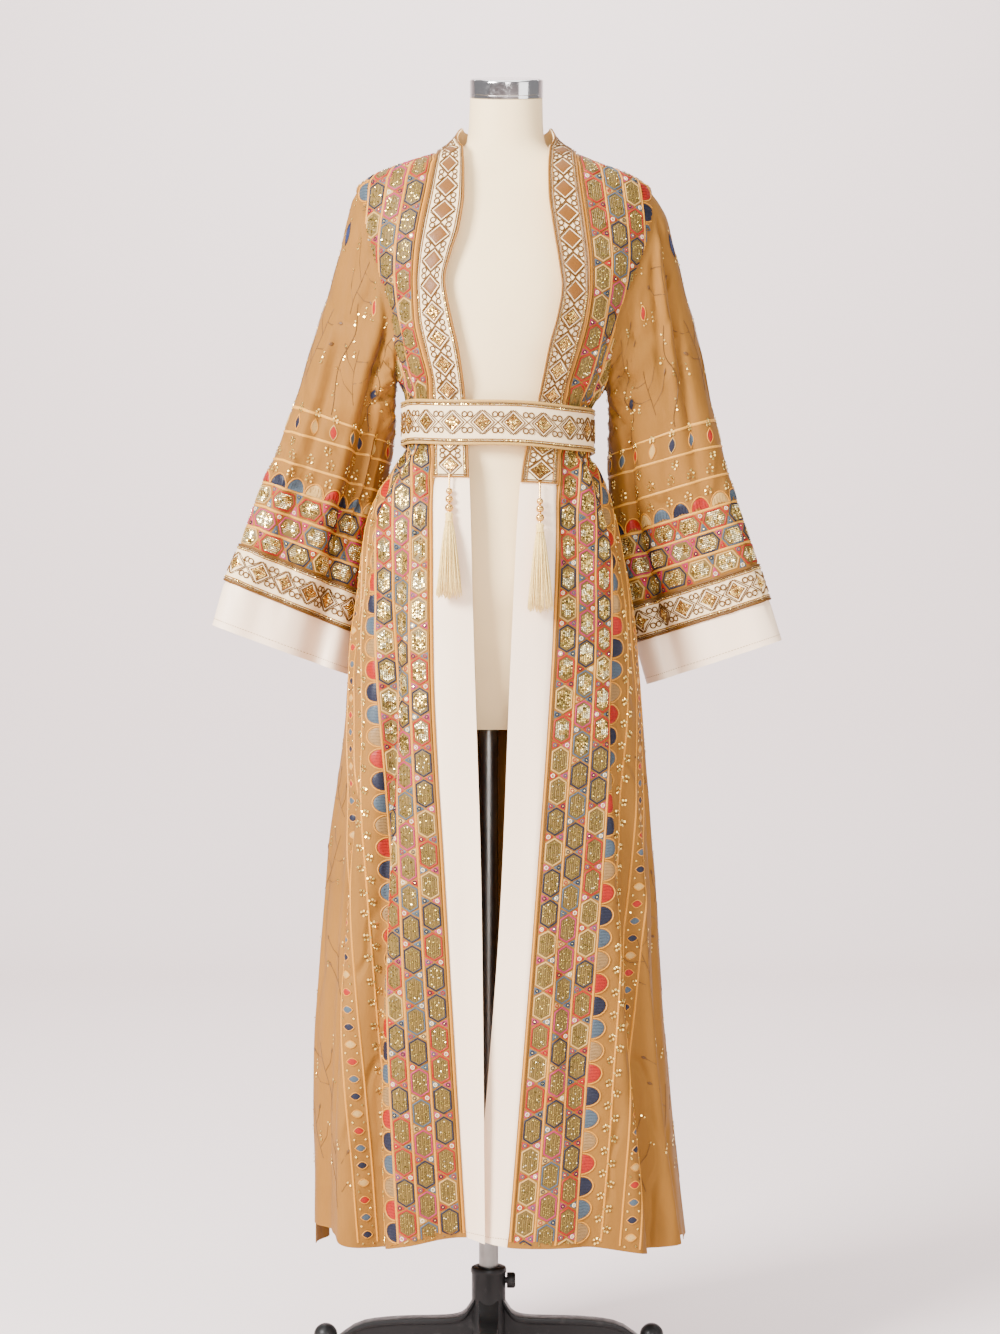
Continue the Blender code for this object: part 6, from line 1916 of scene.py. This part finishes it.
class ABAYA_OT_cuts(Step, bpy.types.Operator):
    """Makes nothing: the cloth's flat cuts are not stated"""

    bl_idname = "abaya.cuts"
    bl_label = "State The Cuts"

    def make(self, scene):
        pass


class ABAYA_OT_studio(Step, bpy.types.Operator):
    """Builds the floor, the lights and the camera"""

    bl_idname = "abaya.studio"
    bl_label = "Build Studio"

    def make(self, scene):
        studio = scene.abaya_studio
        profile = [(-8.0, 0.0), (4.6, 0.0)] + arc(0.8, -80, 1, 10, (4.6, 0.8)) + [(5.4, 7.0)]
        mesh = bpy.data.meshes.new("Studio_sweep")
        mesh.from_pydata([(x, y, z) for y, z in profile for x in (-9.0, 9.0)], [],
                         [(2 * i, 2 * i + 1, 2 * i + 3, 2 * i + 2) for i in range(len(profile) - 1)])
        paper = Shade("Studio_paper", Roughness=0.9, Base_Color=(*studio.backdrop, 1.0))
        mesh.materials.append(paper.material)
        mesh.shade_smooth()
        sweep = bpy.data.objects.new("Studio_sweep", mesh)
        scene.collection.objects.link(sweep)
        lamps = [  # (name, place, aim, size, watts)
            ("Key", (-2.6, -2.6, 2.7), (0.0, 0.0, 1.0), 1.4, 570.0),
            ("Fill", (3.2, -2.2, 1.6), (0.0, 0.0, 0.9), 2.2, 60.0),
            ("Front", (0.3, -4.8, 1.5), (0.0, 0.0, 0.9), 1.2, 118.0),
            ("Top", (0.0, -0.4, 3.8), (0.0, 0.2, 0.8), 2.6, 112.0),
            ("Wall", (0.0, 2.6, 4.4), (0.0, 5.4, 1.3), 3.6, 290.0),
        ]
        for name, place, aim, size, watts in lamps:
            lamp = bpy.data.lights.new("Studio_" + name, "AREA")
            lamp.shape, lamp.size, lamp.energy = "SQUARE", size, watts * studio.brightness
            holder = bpy.data.objects.new("Studio_" + name, lamp)
            holder.location = place
            holder.rotation_euler = (Vector(aim) - Vector(place)).to_track_quat("-Z", "Y").to_euler()
            scene.collection.objects.link(holder)
        scene.world = scene.world or bpy.data.worlds.new("Studio_world")
        scene.world.use_nodes = True
        background = scene.world.node_tree.nodes["Background"].inputs
        background["Color"].default_value = (0.92, 0.92, 0.97, 1.0)
        background["Strength"].default_value = 0.43 * studio.brightness
        lens = bpy.data.cameras.new("Camera")
        lens.sensor_fit, lens.sensor_height, lens.lens = "VERTICAL", 24.0, studio.lens
        camera = bpy.data.objects.new("Camera", lens)
        camera.location = (0.00405, -studio.distance, 0.9626)
        camera.rotation_euler = (math.radians(90.0), 0.0, 0.0)
        scene.collection.objects.link(camera)
        scene.camera = camera


STEPS = (ABAYA_OT_materials, ABAYA_OT_cloth, ABAYA_OT_satin, ABAYA_OT_trims, ABAYA_OT_front_needlework,
         ABAYA_OT_sleeve_needlework, ABAYA_OT_tassels, ABAYA_OT_stand, ABAYA_OT_cuts, ABAYA_OT_studio)


class ABAYA_PT_panel(bpy.types.Panel):
    """Sidebar panel with the cloak's steps and settings"""

    bl_label = "Abaya"
    bl_idname = "ABAYA_PT_panel"
    bl_space_type = "VIEW_3D"
    bl_region_type = "UI"
    bl_category = "Abaya"

    def draw(self, context):
        for group in (context.scene.abaya_cloth, context.scene.abaya_stand, context.scene.abaya_studio):
            box = self.layout.box()
            for name in group.__annotations__:
                box.prop(group, name)
        for step in STEPS:
            self.layout.operator(step.bl_idname)


GROUPS = (AbayaCloth, AbayaStand, AbayaStudio)


def register():
    for each in GROUPS + STEPS + (ABAYA_PT_panel,):
        bpy.utils.register_class(each)
    bpy.types.Scene.abaya_cloth = PointerProperty(type=AbayaCloth)
    bpy.types.Scene.abaya_stand = PointerProperty(type=AbayaStand)
    bpy.types.Scene.abaya_studio = PointerProperty(type=AbayaStudio)


def unregister():
    del bpy.types.Scene.abaya_cloth, bpy.types.Scene.abaya_stand, bpy.types.Scene.abaya_studio
    for each in reversed(GROUPS + STEPS + (ABAYA_PT_panel,)):
        bpy.utils.unregister_class(each)


def main():
    register()
    bpy.ops.abaya.materials()
    bpy.ops.abaya.cloth()
    bpy.ops.abaya.satin()
    bpy.ops.abaya.trims()
    bpy.ops.abaya.front_needlework()
    bpy.ops.abaya.sleeve_needlework()
    bpy.ops.abaya.tassels()
    bpy.ops.abaya.stand()
    bpy.ops.abaya.cuts()
    bpy.ops.abaya.studio()
    bpy.context.view_layer.update()


if __name__ == "__main__":
    main()
